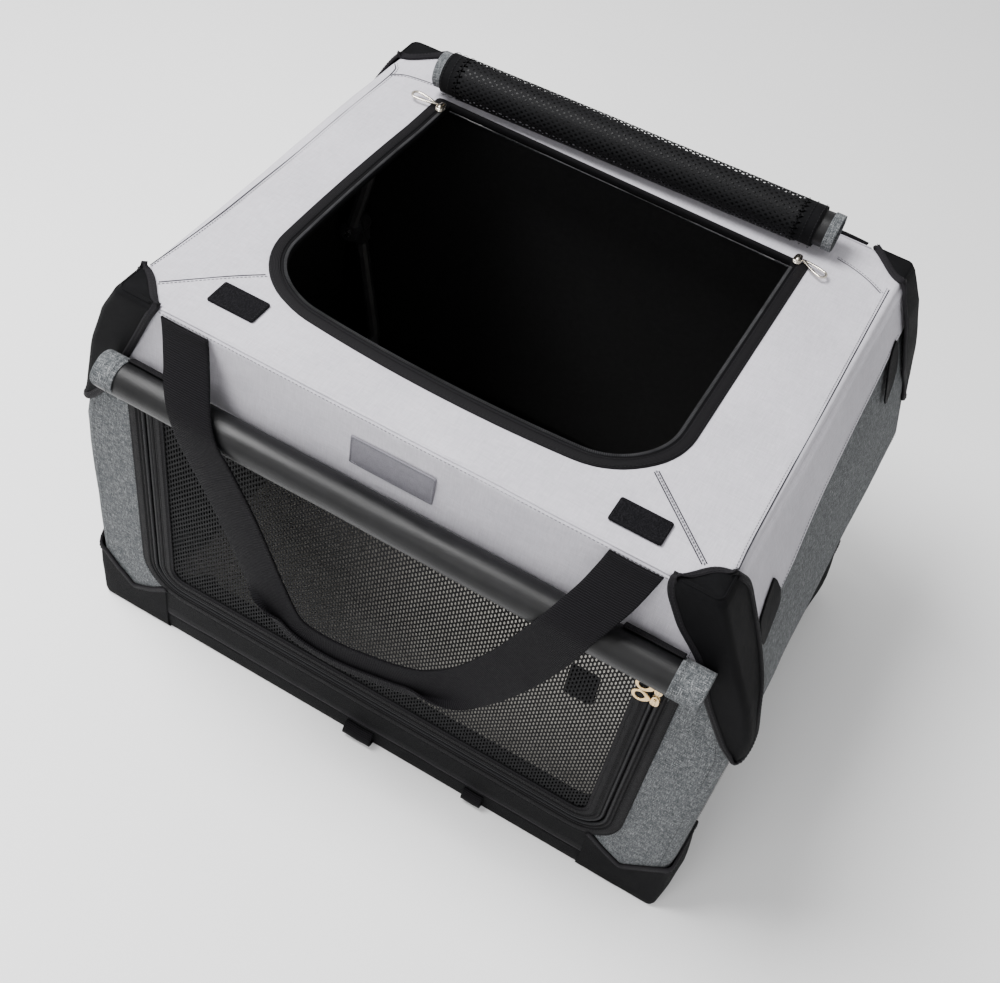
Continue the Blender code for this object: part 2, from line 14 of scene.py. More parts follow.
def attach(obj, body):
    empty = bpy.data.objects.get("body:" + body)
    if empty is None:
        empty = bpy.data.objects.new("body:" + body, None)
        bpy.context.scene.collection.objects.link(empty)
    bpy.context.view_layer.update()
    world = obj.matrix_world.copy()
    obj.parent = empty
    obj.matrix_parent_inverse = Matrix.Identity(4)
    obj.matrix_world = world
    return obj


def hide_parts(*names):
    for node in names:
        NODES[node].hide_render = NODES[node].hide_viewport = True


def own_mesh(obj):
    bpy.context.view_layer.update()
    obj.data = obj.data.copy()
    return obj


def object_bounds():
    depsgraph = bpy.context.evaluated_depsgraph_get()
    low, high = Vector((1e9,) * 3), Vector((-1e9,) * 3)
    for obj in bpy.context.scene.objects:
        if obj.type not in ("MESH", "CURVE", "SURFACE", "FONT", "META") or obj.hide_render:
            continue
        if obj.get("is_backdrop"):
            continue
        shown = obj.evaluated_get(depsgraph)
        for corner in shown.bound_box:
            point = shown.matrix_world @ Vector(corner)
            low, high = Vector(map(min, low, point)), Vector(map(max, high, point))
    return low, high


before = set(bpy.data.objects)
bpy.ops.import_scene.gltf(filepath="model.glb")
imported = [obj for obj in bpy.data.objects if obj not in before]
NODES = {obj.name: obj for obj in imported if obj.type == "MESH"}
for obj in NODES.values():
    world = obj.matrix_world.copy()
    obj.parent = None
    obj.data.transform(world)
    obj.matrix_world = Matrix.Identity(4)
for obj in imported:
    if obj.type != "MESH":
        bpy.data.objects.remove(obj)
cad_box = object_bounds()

PI = math.pi
HALF_L, HALF_W, TOP_Z = 0.305, 0.214, 0.435


def end_x(z):
    """How far the end of the crate stands from the middle at height z."""
    return float(np.interp(z, [0.0, 0.262, 0.372, 0.435], [0.305, 0.305, 0.2785, 0.2505]))


# ================================================================ materials
class Mat:
    """A Principled material and short ways to wire its nodes."""

    def __init__(self, name, vec="cuv", colour=(0.5, 0.5, 0.5), rough=0.7, metal=0.0,
                 sheen=0.0, sheen_rough=0.4, spec=0.5, coat=0.0, coat_rough=0.3):
        self.m = bpy.data.materials.new(name)
        self.m.use_nodes = True
        self.t = self.m.node_tree
        self.b = self.t.nodes["Principled BSDF"]
        self.put(self.b.inputs["Base Color"], colour)
        for key, val in (("Roughness", rough), ("Metallic", metal), ("Sheen Weight", sheen),
                         ("Sheen Roughness", sheen_rough), ("Specular IOR Level", spec),
                         ("Coat Weight", coat), ("Coat Roughness", coat_rough)):
            self.b.inputs[key].default_value = val
        if vec == "cuv":
            n = self.node("ShaderNodeAttribute")
            n.attribute_name = "cuv"
            self.vec = n.outputs["Vector"]
        else:
            self.vec = self.node("ShaderNodeTexCoord").outputs["Object"]

    def node(self, kind, **props):
        n = self.t.nodes.new(kind)
        for k, v in props.items():
            setattr(n, k, v)
        return n

    def put(self, sock, val):
        if isinstance(val, bpy.types.NodeSocket):
            self.t.links.new(val, sock)
        elif isinstance(val, tuple) and len(val) == 3 and sock.type == "RGBA":
            sock.default_value = (*val, 1.0)
        else:
            sock.default_value = val

    def math(self, op, a, b=0.0, c=0.0, clamp=False):
        n = self.node("ShaderNodeMath", operation=op, use_clamp=clamp)
        for sock, v in zip(n.inputs, (a, b, c)):
            self.put(sock, v)
        return n.outputs[0]

    def xyz(self, vec=None):
        n = self.node("ShaderNodeSeparateXYZ")
        self.put(n.inputs[0], self.vec if vec is None else vec)
        return n.outputs

    def join(self, x, y, z=0.0):
        n = self.node("ShaderNodeCombineXYZ")
        for sock, v in zip(n.inputs, (x, y, z)):
            self.put(sock, v)
        return n.outputs[0]

    def scaled(self, sx, sy, sz=1.0, vec=None):
        n = self.node("ShaderNodeVectorMath", operation="MULTIPLY")
        self.put(n.inputs[0], self.vec if vec is None else vec)
        n.inputs[1].default_value = (sx, sy, sz)
        return n.outputs[0]

    def noise(self, scale, detail=2.0, rough=0.5, vec=None, dims="3D"):
        n = self.node("ShaderNodeTexNoise", noise_dimensions=dims)
        self.put(n.inputs["Vector"], self.vec if vec is None else vec)
        n.inputs["Scale"].default_value = scale
        n.inputs["Detail"].default_value = detail
        n.inputs["Roughness"].default_value = rough
        return n.outputs[0]

    def span(self, val, a, b, lo=0.0, hi=1.0):
        n = self.node("ShaderNodeMapRange")
        self.put(n.inputs[0], val)
        for i, v in enumerate((a, b, lo, hi), 1):
            n.inputs[i].default_value = v
        return n.outputs[0]

    def ramp(self, fac, stops):
        n = self.node("ShaderNodeValToRGB")
        el = n.color_ramp.elements
        while len(el) < len(stops):
            el.new(0.5)
        for e, (pos, col) in zip(el, stops):
            e.position = pos
            e.color = (*col, 1.0)
        self.put(n.inputs[0], fac)
        return n.outputs[0]

    def mix(self, fac, a, b, blend="MIX"):
        n = self.node("ShaderNodeMix", data_type="RGBA", blend_type=blend)
        self.put(n.inputs[0], fac)
        self.put(n.inputs[6], a)
        self.put(n.inputs[7], b)
        return n.outputs[2]

    def lerp(self, fac, a, b):
        n = self.node("ShaderNodeMix", data_type="FLOAT")
        self.put(n.inputs[0], fac)
        self.put(n.inputs[2], a)
        self.put(n.inputs[3], b)
        return n.outputs[0]

    def weave(self, pitch, ratio=1.0):
        """Plain weave: height, which thread is on top, and the thread numbers."""
        x, y, _ = self.xyz()
        a = self.math("DIVIDE", x, pitch)
        b = self.math("DIVIDE", y, pitch * ratio)
        ia, ib = self.math("FLOOR", a), self.math("FLOOR", b)
        par = self.math("FLOORED_MODULO", self.math("ADD", ia, ib), 2.0)
        ha = self.math("SINE", self.math("MULTIPLY", self.math("FRACT", a), PI))
        hb = self.math("SINE", self.math("MULTIPLY", self.math("FRACT", b), PI))
        warp = self.math("MULTIPLY", ha, self.math("MULTIPLY_ADD", hb, 0.5, 0.5))
        weft = self.math("MULTIPLY", hb, self.math("MULTIPLY_ADD", ha, 0.5, 0.5))
        return self.lerp(par, warp, weft), par, ia, ib, a, b

    def yarn(self, weave, along=0.12):
        """A value that drifts along each thread and jumps from thread to thread."""
        _, par, ia, ib, a, b = weave
        v1 = self.join(self.math("MULTIPLY", ia, 3.71), self.math("MULTIPLY", b, along))
        v2 = self.join(self.math("MULTIPLY", a, along), self.math("MULTIPLY_ADD", ib, 3.71, 91.0))
        return self.lerp(par, self.noise(1.0, 1.0, 0.5, v1, "2D"), self.noise(1.0, 1.0, 0.5, v2, "2D"))

    def bump(self, height, dist, strength=1.0):
        n = self.node("ShaderNodeBump")
        n.inputs["Strength"].default_value = strength
        n.inputs["Distance"].default_value = dist
        self.put(n.inputs["Height"], height)
        last = self.b.inputs["Normal"].links
        if last:
            self.put(n.inputs["Normal"], last[0].from_socket)
        self.put(self.b.inputs["Normal"], n.outputs[0])

    def colour(self, val):
        self.put(self.b.inputs["Base Color"], val)

    def rough(self, val):
        self.put(self.b.inputs["Roughness"], val)


def pale_cloth(name="pale_oxford", dark=(0.40, 0.388, 0.428), light=(0.57, 0.552, 0.60)):
    m = Mat(name, sheen=0.12, spec=0.35)
    w = m.weave(0.00062)
    y = m.yarn(w, 0.06)
    big = m.noise(9.0, 3.0, 0.6)
    val = m.math("ADD", m.math("MULTIPLY", y, 0.55), m.math("MULTIPLY", big, 0.45))
    col = m.ramp(m.span(val, 0.32, 0.68), [(0.0, dark), (0.5, tuple((a + b) / 2 for a, b in zip(dark, light))), (1.0, light)])
    # painted shade: darker where the weave is low, in the gaps between the threads
    col = m.mix(m.span(w[0], 0.0, 0.5, 0.16, 0.0), col, tuple(c * 0.55 for c in dark))
    m.colour(col)
    m.rough(m.span(y, 0.2, 0.8, 0.72, 0.88))
    m.bump(m.noise(42.0, 4.0, 0.6), 0.0009, 0.35)
    m.bump(w[0], 0.00014, 0.8)
    return m.m


def heather_cloth():
    m = Mat("heather_oxford", sheen=0.02, spec=0.2)
    w = m.weave(0.00082)
    y = m.yarn(w, 0.16)
    fleck = m.noise(620.0, 2.0, 0.7)
    big = m.noise(26.0, 3.0, 0.6)
    val = m.math("ADD", m.math("MULTIPLY", y, 0.66), m.math("MULTIPLY", fleck, 0.30))
    val = m.math("ADD", val, m.math("MULTIPLY", big, 0.04))
    col = m.ramp(m.span(val, 0.30, 0.70), [(0.0, (0.022, 0.025, 0.028)), (0.38, (0.062, 0.067, 0.071)),
                                            (0.62, (0.112, 0.118, 0.123)), (1.0, (0.25, 0.256, 0.262))])
    # painted shade: darker where the weave is low, in the gaps between the threads
    col = m.mix(m.span(w[0], 0.0, 0.5, 0.30, 0.0), col, (0.016, 0.018, 0.020))
    m.colour(col)
    m.rough(m.span(y, 0.2, 0.8, 0.78, 0.92))
    m.bump(m.noise(38.0, 4.0, 0.6), 0.0005, 0.3)
    m.bump(w[0], 0.00020, 0.9)
    return m.m


def black_cloth(name, colour, light, pitch=0.00066, rough=(0.62, 0.8), sheen=0.15, spec=0.35, bump=0.00016):
    m = Mat(name, sheen=sheen, spec=spec)
    w = m.weave(pitch)
    y = m.yarn(w, 0.1)
    fuzz = m.noise(180.0, 4.0, 0.7)
    col = m.mix(m.span(m.math("ADD", m.math("MULTIPLY", y, 0.6), m.math("MULTIPLY", fuzz, 0.4)), 0.3, 0.7), colour, light)
    m.colour(col)
    m.rough(m.span(y, 0.2, 0.8, *rough))
    m.bump(m.noise(55.0, 4.0, 0.6), 0.0009, 0.4)
    m.bump(w[0], bump, 0.9)
    return m.m


def ribbed(name, pitch, colour, light, rough=(0.5, 0.7), axis=0, sheen=0.2, fine=0.0008, depth=0.0004, spec=0.4):
    """Narrow woven tape: ribs that run across coordinate 0 (length) or 1 (width)."""
    m = Mat(name, sheen=sheen, spec=spec)
    out = m.xyz()
    along, across = (out[0], out[1]) if axis == 0 else (out[1], out[0])
    r = m.math("DIVIDE", along, pitch)
    rib = m.math("SINE", m.math("MULTIPLY", m.math("FRACT", r), PI))
    side = m.math("MULTIPLY_ADD", m.math("FLOORED_MODULO", m.math("FLOOR", r), 2.0), 0.5, m.math("DIVIDE", across, fine))
    knot = m.math("SINE", m.math("MULTIPLY", m.math("FRACT", side), PI))
    h = m.math("ADD", m.math("POWER", rib, 0.6), m.math("MULTIPLY", knot, 0.35))
    fuzz = m.noise(260.0, 3.0, 0.7)
    # partly random fuzz tone, partly painted shade: lighter on the rib tops and darker in the grooves between the ribs
    col = m.mix(m.span(m.math("MULTIPLY_ADD", fuzz, 0.6, m.math("MULTIPLY", rib, 0.5)), 0.25, 0.85), colour, light)
    m.colour(col)
    m.rough(m.span(fuzz, 0.3, 0.7, *rough))
    m.bump(h, depth, 0.9)
    return m.m


def lining():
    m = Mat("coated_lining", colour=(0.004, 0.004, 0.0045), spec=0.25, coat=0.0, coat_rough=0.35)
    f = m.noise(70.0, 4.0, 0.62)
    g = m.noise(1.0, 4.0, 0.6, m.scaled(9.0, 46.0))
    w = m.weave(0.00055)
    m.colour(m.mix(m.span(f, 0.3, 0.7), (0.0022, 0.0022, 0.0025), (0.0055, 0.0055, 0.0060)))
    m.rough(m.span(g, 0.3, 0.7, 0.34, 0.47))
    m.bump(g, 0.0011, 0.45)
    m.bump(w[0], 0.00005, 0.7)
    return m.m


def plush():
    m = Mat("plush_pile", sheen=0.6, sheen_rough=0.5, spec=0.2)
    a = m.noise(420.0, 4.0, 0.75)
    b = m.noise(60.0, 4.0, 0.65)
    m.colour(m.ramp(m.math("MULTIPLY_ADD", b, 0.5, m.math("MULTIPLY", a, 0.5)),
                    [(0.3, (0.24, 0.225, 0.20)), (0.5, (0.36, 0.345, 0.315)), (0.72, (0.47, 0.455, 0.42))]))
    m.rough(m.span(a, 0.2, 0.8, 0.85, 1.0))
    m.bump(b, 0.004, 0.7)
    m.bump(a, 0.0016, 0.9)
    return m.m


def hook_loop():
    m = Mat("hook_and_loop", spec=0.05)
    n = m.node("ShaderNodeTexVoronoi", feature="F1")
    m.put(n.inputs["Vector"], m.vec)
    n.inputs["Scale"].default_value = 900.0
    d = n.outputs["Distance"]
    f = m.noise(140.0, 4.0, 0.75)
    m.colour(m.mix(m.span(m.math("ADD", d, f), 0.5, 1.3), (0.0012, 0.0012, 0.0016), (0.0085, 0.0082, 0.0096)))
    m.rough(m.span(f, 0.3, 0.7, 0.7, 0.95))
    m.bump(d, 0.0009, 0.8)
    m.bump(f, 0.0007, 0.7)
    return m.m


def metal(name, tint, dull, rough=(0.16, 0.34)):
    m = Mat(name, vec="object", metal=1.0)
    f = m.noise(420.0, 4.0, 0.65)
    g = m.noise(60.0, 3.0, 0.6)
    m.colour(m.mix(m.span(g, 0.3, 0.7), tint, dull))
    m.rough(m.span(f, 0.3, 0.7, *rough))
    m.bump(f, 0.00008, 0.5)
    return m.m


def moulded(name, colour, light, rough=(0.42, 0.6), scale=900.0, vec="object"):
    m = Mat(name, vec=vec, spec=0.45)
    f = m.noise(scale, 3.0, 0.6)
    g = m.noise(45.0, 4.0, 0.6)
    m.colour(m.mix(m.span(g, 0.3, 0.7), colour, light))
    m.rough(m.span(f, 0.3, 0.7, *rough))
    m.bump(f, 0.00015, 0.5)
    return m.m


def board():
    m = Mat("fibre_board", vec="object", spec=0.3)
    w = m.weave(0.0011)
    f = m.noise(90.0, 4.0, 0.7)
    m.colour(m.mix(m.span(f, 0.3, 0.7), (0.022, 0.022, 0.024), (0.05, 0.05, 0.054)))
    m.rough(m.span(f, 0.3, 0.7, 0.65, 0.85))
    m.bump(w[0], 0.0002, 0.8)
    return m.m


PALE = pale_cloth()
HEATHER = heather_cloth()
GUARD = black_cloth("black_oxford", (0.0020, 0.0020, 0.0023), (0.0050, 0.0050, 0.0057), 0.00066, (0.6, 0.78), 0.0, 0.06)
INNER = black_cloth("inner_lining", (0.0055, 0.0055, 0.0058), (0.0120, 0.0120, 0.0125), 0.0006, (0.75, 0.9), 0.0, 0.10)
HEM = black_cloth("hem_cloth", (0.0020, 0.0020, 0.0023), (0.0050, 0.0050, 0.0057), 0.0006, (0.55, 0.72), 0.0, 0.06)
TAPE = ribbed("binding_tape", 0.00085, (0.0045, 0.0042, 0.0050), (0.0130, 0.0120, 0.0140), (0.5, 0.66), 1, 0.0, 0.0007, 0.00025, 0.10)
ZIPTAPE = ribbed("zip_tape", 0.0011, (0.0025, 0.0024, 0.0028), (0.0075, 0.0070, 0.0080), (0.48, 0.66), 1, 0.0, 0.0009, 0.0003, 0.09)
COIL = ribbed("zip_coil", 0.00125, (0.0035, 0.0035, 0.004), (0.015, 0.015, 0.017), (0.38, 0.55), 0, 0.0, 0.002, 0.0006, 0.16)
TEETH = moulded("zip_teeth", (0.009, 0.009, 0.010), (0.036, 0.036, 0.039), (0.34, 0.48), 1400.0)
WEBBING = ribbed("webbing", 0.0019, (0.0014, 0.0013, 0.0016), (0.0088, 0.0082, 0.0098), (0.6, 0.78), 0, 0.0, 0.0012, 0.0009, 0.07)
LINING = lining()
NET = ribbed("black_net", 0.0007, (0.0022, 0.0022, 0.0025), (0.0070, 0.0070, 0.0078), (0.5, 0.66), 0, 0.0, 0.0006, 0.0001, 0.08)
PLUSH = plush()
HOOK = hook_loop()
LABEL = black_cloth("label_cloth", (0.125, 0.121, 0.140), (0.195, 0.188, 0.215), 0.00045, (0.38, 0.52), 0.1, 0.4, 0.0001)
PALE_THREAD = black_cloth("grey_thread", (0.10, 0.10, 0.115), (0.18, 0.18, 0.20), 0.0003, (0.5, 0.7), 0.0, 0.2)
SEAM = black_cloth("seam_shadow", (0.014, 0.014, 0.018), (0.040, 0.040, 0.048), 0.0003, (0.6, 0.8), 0.0, 0.1)
DARK_THREAD = black_cloth("black_thread", (0.0035, 0.0035, 0.004), (0.014, 0.014, 0.016), 0.0003, (0.45, 0.62), 0.0, 0.15)
HEATHER_THREAD = black_cloth("wall_thread", (0.02, 0.022, 0.024), (0.06, 0.063, 0.066), 0.0003, (0.5, 0.7), 0.0, 0.2)
GOLD = metal("pale_gold", (0.80, 0.58, 0.30), (0.62, 0.45, 0.24))
NICKEL = metal("nickel", (0.80, 0.74, 0.64), (0.62, 0.57, 0.49), (0.14, 0.3))
STEEL = moulded("powder_coat", (0.016, 0.016, 0.017), (0.030, 0.030, 0.032), (0.38, 0.52), 1500.0)
PLASTIC = moulded("moulded_plastic", (0.014, 0.014, 0.015), (0.028, 0.028, 0.03))
BOARD = board()
PIN = metal("bright_pin", (0.60, 0.60, 0.61), (0.42, 0.42, 0.43), (0.2, 0.35))


# ================================================================ mesh helpers
def arr(x):
    return np.asarray(x, float)


def unit(v):
    return v / np.maximum(np.linalg.norm(v, axis=-1, keepdims=True), 1e-12)


def mesh_object(name, verts, faces, mats, uv=None, fm=None, smooth=True):
    me = bpy.data.meshes.new(name)
    me.from_pydata(arr(verts).tolist(), [], [list(f) for f in faces])
    for m in mats:
        me.materials.append(m)
    if fm is not None:
        me.polygons.foreach_set("material_index", np.asarray(fm, dtype=np.int32).ravel())
    a = me.attributes.new("cuv", "FLOAT_VECTOR", "CORNER")
    if uv is not None:
        w = np.zeros((len(me.loops), 3))
        w[:, :2] = arr(uv).reshape(-1, 2)
        a.data.foreach_set("vector", w.ravel())
    if smooth:
        me.shade_smooth()
    me.update()
    ob = bpy.data.objects.new(name, me)
    bpy.context.scene.collection.objects.link(ob)
    if uv is None:
        box_uv(ob)
    return ob


def box_uv(ob, origin=(0.0, 0.0, 0.0)):
    """Cloth coordinates in metres from the side that each face looks to."""
    me = ob.data
    n, k = len(me.polygons), len(me.loops)
    nor = np.zeros(n * 3)
    me.polygons.foreach_get("normal", nor)
    tot = np.zeros(n, dtype=np.int32)
    me.polygons.foreach_get("loop_total", tot)
    lv = np.zeros(k, dtype=np.int32)
    me.loops.foreach_get("vertex_index", lv)
    co = np.zeros(len(me.vertices) * 3)
    me.vertices.foreach_get("co", co)
    co = co.reshape(-1, 3)[lv] - arr(origin)
    ax = np.repeat(np.argmax(np.abs(nor.reshape(-1, 3)), axis=1), tot)
    u = np.where(ax == 0, co[:, 1], co[:, 0])
    v = np.where(ax == 2, co[:, 1], co[:, 2])
    a = me.attributes.get("cuv") or me.attributes.new("cuv", "FLOAT_VECTOR", "CORNER")
    a.data.foreach_set("vector", np.stack([u, v, np.zeros(k)], 1).ravel())
    return ob


def grid(name, rows, mats, ring=False, tube=False, fm=None, out=None, uv="grid", smooth=True):
    """Surface through rows of points; ring closes the rows, tube the columns."""
    P = arr(rows)
    R, C = P.shape[:2]
    rn, cn = (R if tube else R - 1), (C if ring else C - 1)
    r, c = np.meshgrid(np.arange(rn), np.arange(cn), indexing="ij")
    r1, c1 = (r + 1) % R, (c + 1) % C
    F = np.stack([r * C + c, r * C + c1, r1 * C + c1, r1 * C + c], -1).reshape(-1, 4)
    U = np.concatenate([[0.0], np.cumsum(np.linalg.norm(np.roll(P, -1, 1) - P, axis=2).mean(0))])
    V = np.concatenate([[0.0], np.cumsum(np.linalg.norm(np.roll(P, -1, 0) - P, axis=2).mean(1))])
    uvs = np.stack([np.stack([U[c], V[r]], -1), np.stack([U[c + 1], V[r]], -1),
                    np.stack([U[c + 1], V[r + 1]], -1), np.stack([U[c], V[r + 1]], -1)], 2).reshape(-1, 4, 2)
    if fm is not None:
        fm = np.broadcast_to(np.asarray(fm).reshape(-1, 1) if np.ndim(fm) == 1 else fm, (rn, cn)).ravel()
    if out is not None:
        A = P.reshape(-1, 3)[F]
        n = np.cross(A[:, 2] - A[:, 0], A[:, 3] - A[:, 1])
        mid = A.mean(1)
        want = arr([out(p) for p in mid[:: max(1, len(mid) // 50)]])
        if (n[:: max(1, len(mid) // 50)] * want).sum() < 0:
            F, uvs = F[:, ::-1], uvs[:, ::-1]
    return mesh_object(name, P.reshape(-1, 3), F, mats, None if uv == "box" else uvs, fm, smooth)


def bake(ob):
    """Give the object the mesh that its modifiers make."""
    bpy.context.view_layer.update()
    dg = bpy.context.evaluated_depsgraph_get()
    me = bpy.data.meshes.new_from_object(ob.evaluated_get(dg), preserve_all_data_layers=True, depsgraph=dg)
    ob.modifiers.clear()
    me.name = ob.name
    ob.data = me
    return ob


def solid(ob, t, offset=-1.0, inner=0, rim=0):
    m = ob.modifiers.new("thick", "SOLIDIFY")
    m.thickness = t
    m.offset = offset
    m.use_quality_normals = True
    m.material_offset = inner
    m.material_offset_rim = rim
    return bake(ob)


def cap(ob, below=None):
    """Close the open ends of a tube-like mesh, or only those below a height."""
    bm = bmesh.new()
    bm.from_mesh(ob.data)
    edges = [e for e in bm.edges if e.is_boundary and (below is None or e.verts[0].co.z < below)]
    if edges:
        bmesh.ops.holes_fill(bm, edges=edges, sides=0)
        bmesh.ops.recalc_face_normals(bm, faces=bm.faces)
    bm.to_mesh(ob.data)
    bm.free()
    ob.data.update()
    return ob


def resample(path, step=None, n=None, closed=False):
    P = arr(path)
    if closed:
        P = np.concatenate([P, P[:1]])
    s = np.concatenate([[0.0], np.cumsum(np.linalg.norm(np.diff(P, axis=0), axis=1))])
    if n is None:
        n = max(2, int(round(s[-1] / step)) + (0 if closed else 1))
    t = np.linspace(0, s[-1], n, endpoint=not closed)
    return np.stack([np.interp(t, s, P[:, k]) for k in range(P.shape[1])], 1)


def smooth_path(points, n):
    """Catmull-Rom curve through the points, evenly spaced."""
    P = arr(points)
    Q = np.concatenate([[2 * P[0] - P[1]], P, [2 * P[-1] - P[-2]]])
    out = []
    for i in range(1, len(Q) - 2):
        for t in np.linspace(0, 1, 12, endpoint=False):
            a, b, c, d = Q[i - 1], Q[i], Q[i + 1], Q[i + 2]
            out.append(0.5 * (2 * b + (c - a) * t + (2 * a - 5 * b + 4 * c - d) * t * t
                              + (3 * b - a - 3 * c + d) * t ** 3))
    out.append(P[-1])
    return resample(out, n=n)


def tangents(P, closed=False):
    T = (np.roll(P, -1, 0) - np.roll(P, 1, 0)) if closed else np.gradient(P, axis=0)
    return unit(T)


def sweep(name, path, up, prof, mats, closed=False, fm=None, side_sign=1.0, scale=None, ends=True):
    """Closed profile of (side, height) carried along the path; up is the surface normal there."""
    P = arr(path)
    T = tangents(P, closed)
    U = np.broadcast_to(arr(up), P.shape).copy()
    U = unit(U - T * (U * T).sum(1, keepdims=True))
    S = np.cross(T, U) * side_sign
    prof = arr(prof)
    k = np.ones(len(P)) if scale is None else arr(scale)
    rows = [P + S * (p[0] * k)[:, None] + U * (p[1] * k)[:, None] for p in prof]
    ob = grid(name, rows, mats, ring=closed, tube=True, fm=fm)
    bm = bmesh.new()
    bm.from_mesh(ob.data)
    bmesh.ops.recalc_face_normals(bm, faces=bm.faces)
    bm.to_mesh(ob.data)
    bm.free()
    if ends and not closed:
        cap(ob)
    return ob


def tape_profile(w, t, n=3):
    """Flat tape section, w wide and t thick, with soft edges."""
    top = [(-w / 2 + w * f, t / 2) for f in (0.02, 0.06, 0.3, 0.5, 0.7, 0.94, 0.98)]
    top = [(-w / 2, 0.0)] + top + [(w / 2, 0.0)]
    return top + [(x, -h) for x, h in reversed(top[1:-1])]


def stitches(name, lines, mat, pitch=0.0031, length=0.0023, r=0.00032):
    """Rows of short thread spindles: lines is a list of (path, normal)."""
    ang = np.linspace(0, 2 * PI, 5, endpoint=False)
    ring = np.stack([np.zeros(5), np.cos(ang), np.sin(ang)], 1)
    tmpl, kind = [[-0.5, 0, -0.6]], []
    for s, k in ((-0.34, 0.8), (0.0, 1.0), (0.34, 0.8)):
        tmpl += (ring * [0, k, k] + [s, 0, 0]).tolist()
    tmpl += [[0.5, 0, -0.6]]
    tmpl = arr(tmpl)
    faces = [[0, 1 + (i + 1) % 5, 1 + i] for i in range(5)]
    for j in (0, 1):
        b = 1 + 5 * j
        faces += [[b + i, b + (i + 1) % 5, b + 5 + (i + 1) % 5, b + 5 + i] for i in range(5)]
    faces += [[16, 11 + i, 11 + (i + 1) % 5] for i in range(5)]
    V, F, base = [], [], 0
    for path, up in lines:
        P = resample(path, step=pitch)
        if len(P) < 3:
            continue
        T = tangents(P)
        if np.ndim(up) == 2:
            t0, t1 = np.linspace(0, 1, len(up)), np.linspace(0, 1, len(P))
            U = np.stack([np.interp(t1, t0, arr(up)[:, k]) for k in range(3)], 1)
        else:
            U = np.broadcast_to(arr(up), P.shape)
        U = unit(U - T * (U * T).sum(1, keepdims=True))
        S = np.cross(T, U)
        for p, t, u, s in zip(P, T, U, S):
            V.append(p + np.outer(tmpl[:, 0] * length, t) + np.outer(tmpl[:, 1] * r, s) + np.outer(tmpl[:, 2] * r, u))
            F += [[i + base for i in f] for f in faces]
            base += 17
    return mesh_object(name, np.concatenate(V), F, [mat])


def cords(name, lines, mat, half=0.00045, high=0.00028):
    """Thin raised cords, such as the line of a seam, in one mesh: lines is a list of (path, normal)."""
    V, F, base = [], [], 0
    ang = np.linspace(0, 2 * PI, 6, endpoint=False)
    for path, up in lines:
        P = resample(path, step=0.0025)
        T = tangents(P)
        U = np.broadcast_to(arr(up), P.shape)
        U = unit(U - T * (U * T).sum(1, keepdims=True))
        S = np.cross(T, U)
        n = len(P)
        for p, u, s in zip(P, U, S):
            V.append(p + np.outer(np.cos(ang) * half, s) + np.outer(np.sin(ang) * high, u))
        for i in range(n - 1):
            a, b = base + 6 * i, base + 6 * (i + 1)
            F += [[a + k, b + k, b + (k + 1) % 6, a + (k + 1) % 6] for k in range(6)]
        F += [[base + k for k in range(6)], [base + 6 * (n - 1) + k for k in range(5, -1, -1)]]
        base += 6 * n
    ob = mesh_object(name, np.concatenate(V), F, [mat])
    bm = bmesh.new()
    bm.from_mesh(ob.data)
    bmesh.ops.recalc_face_normals(bm, faces=bm.faces)
    bm.to_mesh(ob.data)
    bm.free()
    return ob


def teeth(name, path, up, mat, pitch, size, closed=False, stagger=0.0):
    """Small chamfered zip teeth set across a path; size is (along, across, high)."""
    P = resample(path, step=pitch, closed=closed)
    T = tangents(P, closed)
    U = np.broadcast_to(arr(up), P.shape)
    S = np.cross(T, U)
    a, w, h = size[0] / 2, size[1] / 2, size[2]
    tmpl = arr([(-a, -w, 0), (a, -w, 0), (a, w, 0), (-a, w, 0),
                (-a, -w, h * .55), (a, -w, h * .55), (a, w, h * .55), (-a, w, h * .55),
                (-a * .5, -w * .8, h), (a * .5, -w * .8, h), (a * .5, w * .8, h), (-a * .5, w * .8, h)])
    quads = [(0, 3, 2, 1), (8, 9, 10, 11)]
    for b in (0, 4):
        quads += [(b + i, b + (i + 1) % 4, b + 4 + (i + 1) % 4, b + 4 + i) for i in range(4)]
    V, F = [], []
    for i, (p, t, u, s) in enumerate(zip(P, T, U, S)):
        off = stagger * (1 if i % 2 else -1)
        V.append(p + s * off + np.outer(tmpl[:, 0], t) + np.outer(tmpl[:, 1], s) + np.outer(tmpl[:, 2], u))
        F += [[q + 12 * i for q in f] for f in quads]
    return mesh_object(name, np.concatenate(V), F, [mat], smooth=False)


def wave(p, seed, freq, amp, stretch=(1.0, 1.0, 1.0)):
    v = Vector((p[0] * stretch[0] * freq + seed * 7.3, p[1] * stretch[1] * freq - seed * 3.1,
                p[2] * stretch[2] * freq + seed * 1.7))
    return amp * (noise.noise(v) + 0.45 * noise.noise(v * 2.3) + 0.2 * noise.noise(v * 5.1))


def grid_normals(P, ring=False, tube=False):
    du = (np.roll(P, -1, 1) - np.roll(P, 1, 1)) if ring else np.gradient(P, axis=1)
    dv = (np.roll(P, -1, 0) - np.roll(P, 1, 0)) if tube else np.gradient(P, axis=0)
    return unit(np.cross(du, dv))


def ripple(P, seed, freq, amp, ring=False, mask=None, stretch=(1.0, 1.0, 1.0)):
    """Move the points of a grid along its normals by smooth noise."""
    P = arr(P)
    N = grid_normals(P, ring)
    flat = P.reshape(-1, 3)
    h = arr([wave(p, seed, freq, amp, stretch) for p in flat]).reshape(P.shape[:2])
    if mask is not None:
        h = h * mask
    return P + N * h[..., None]


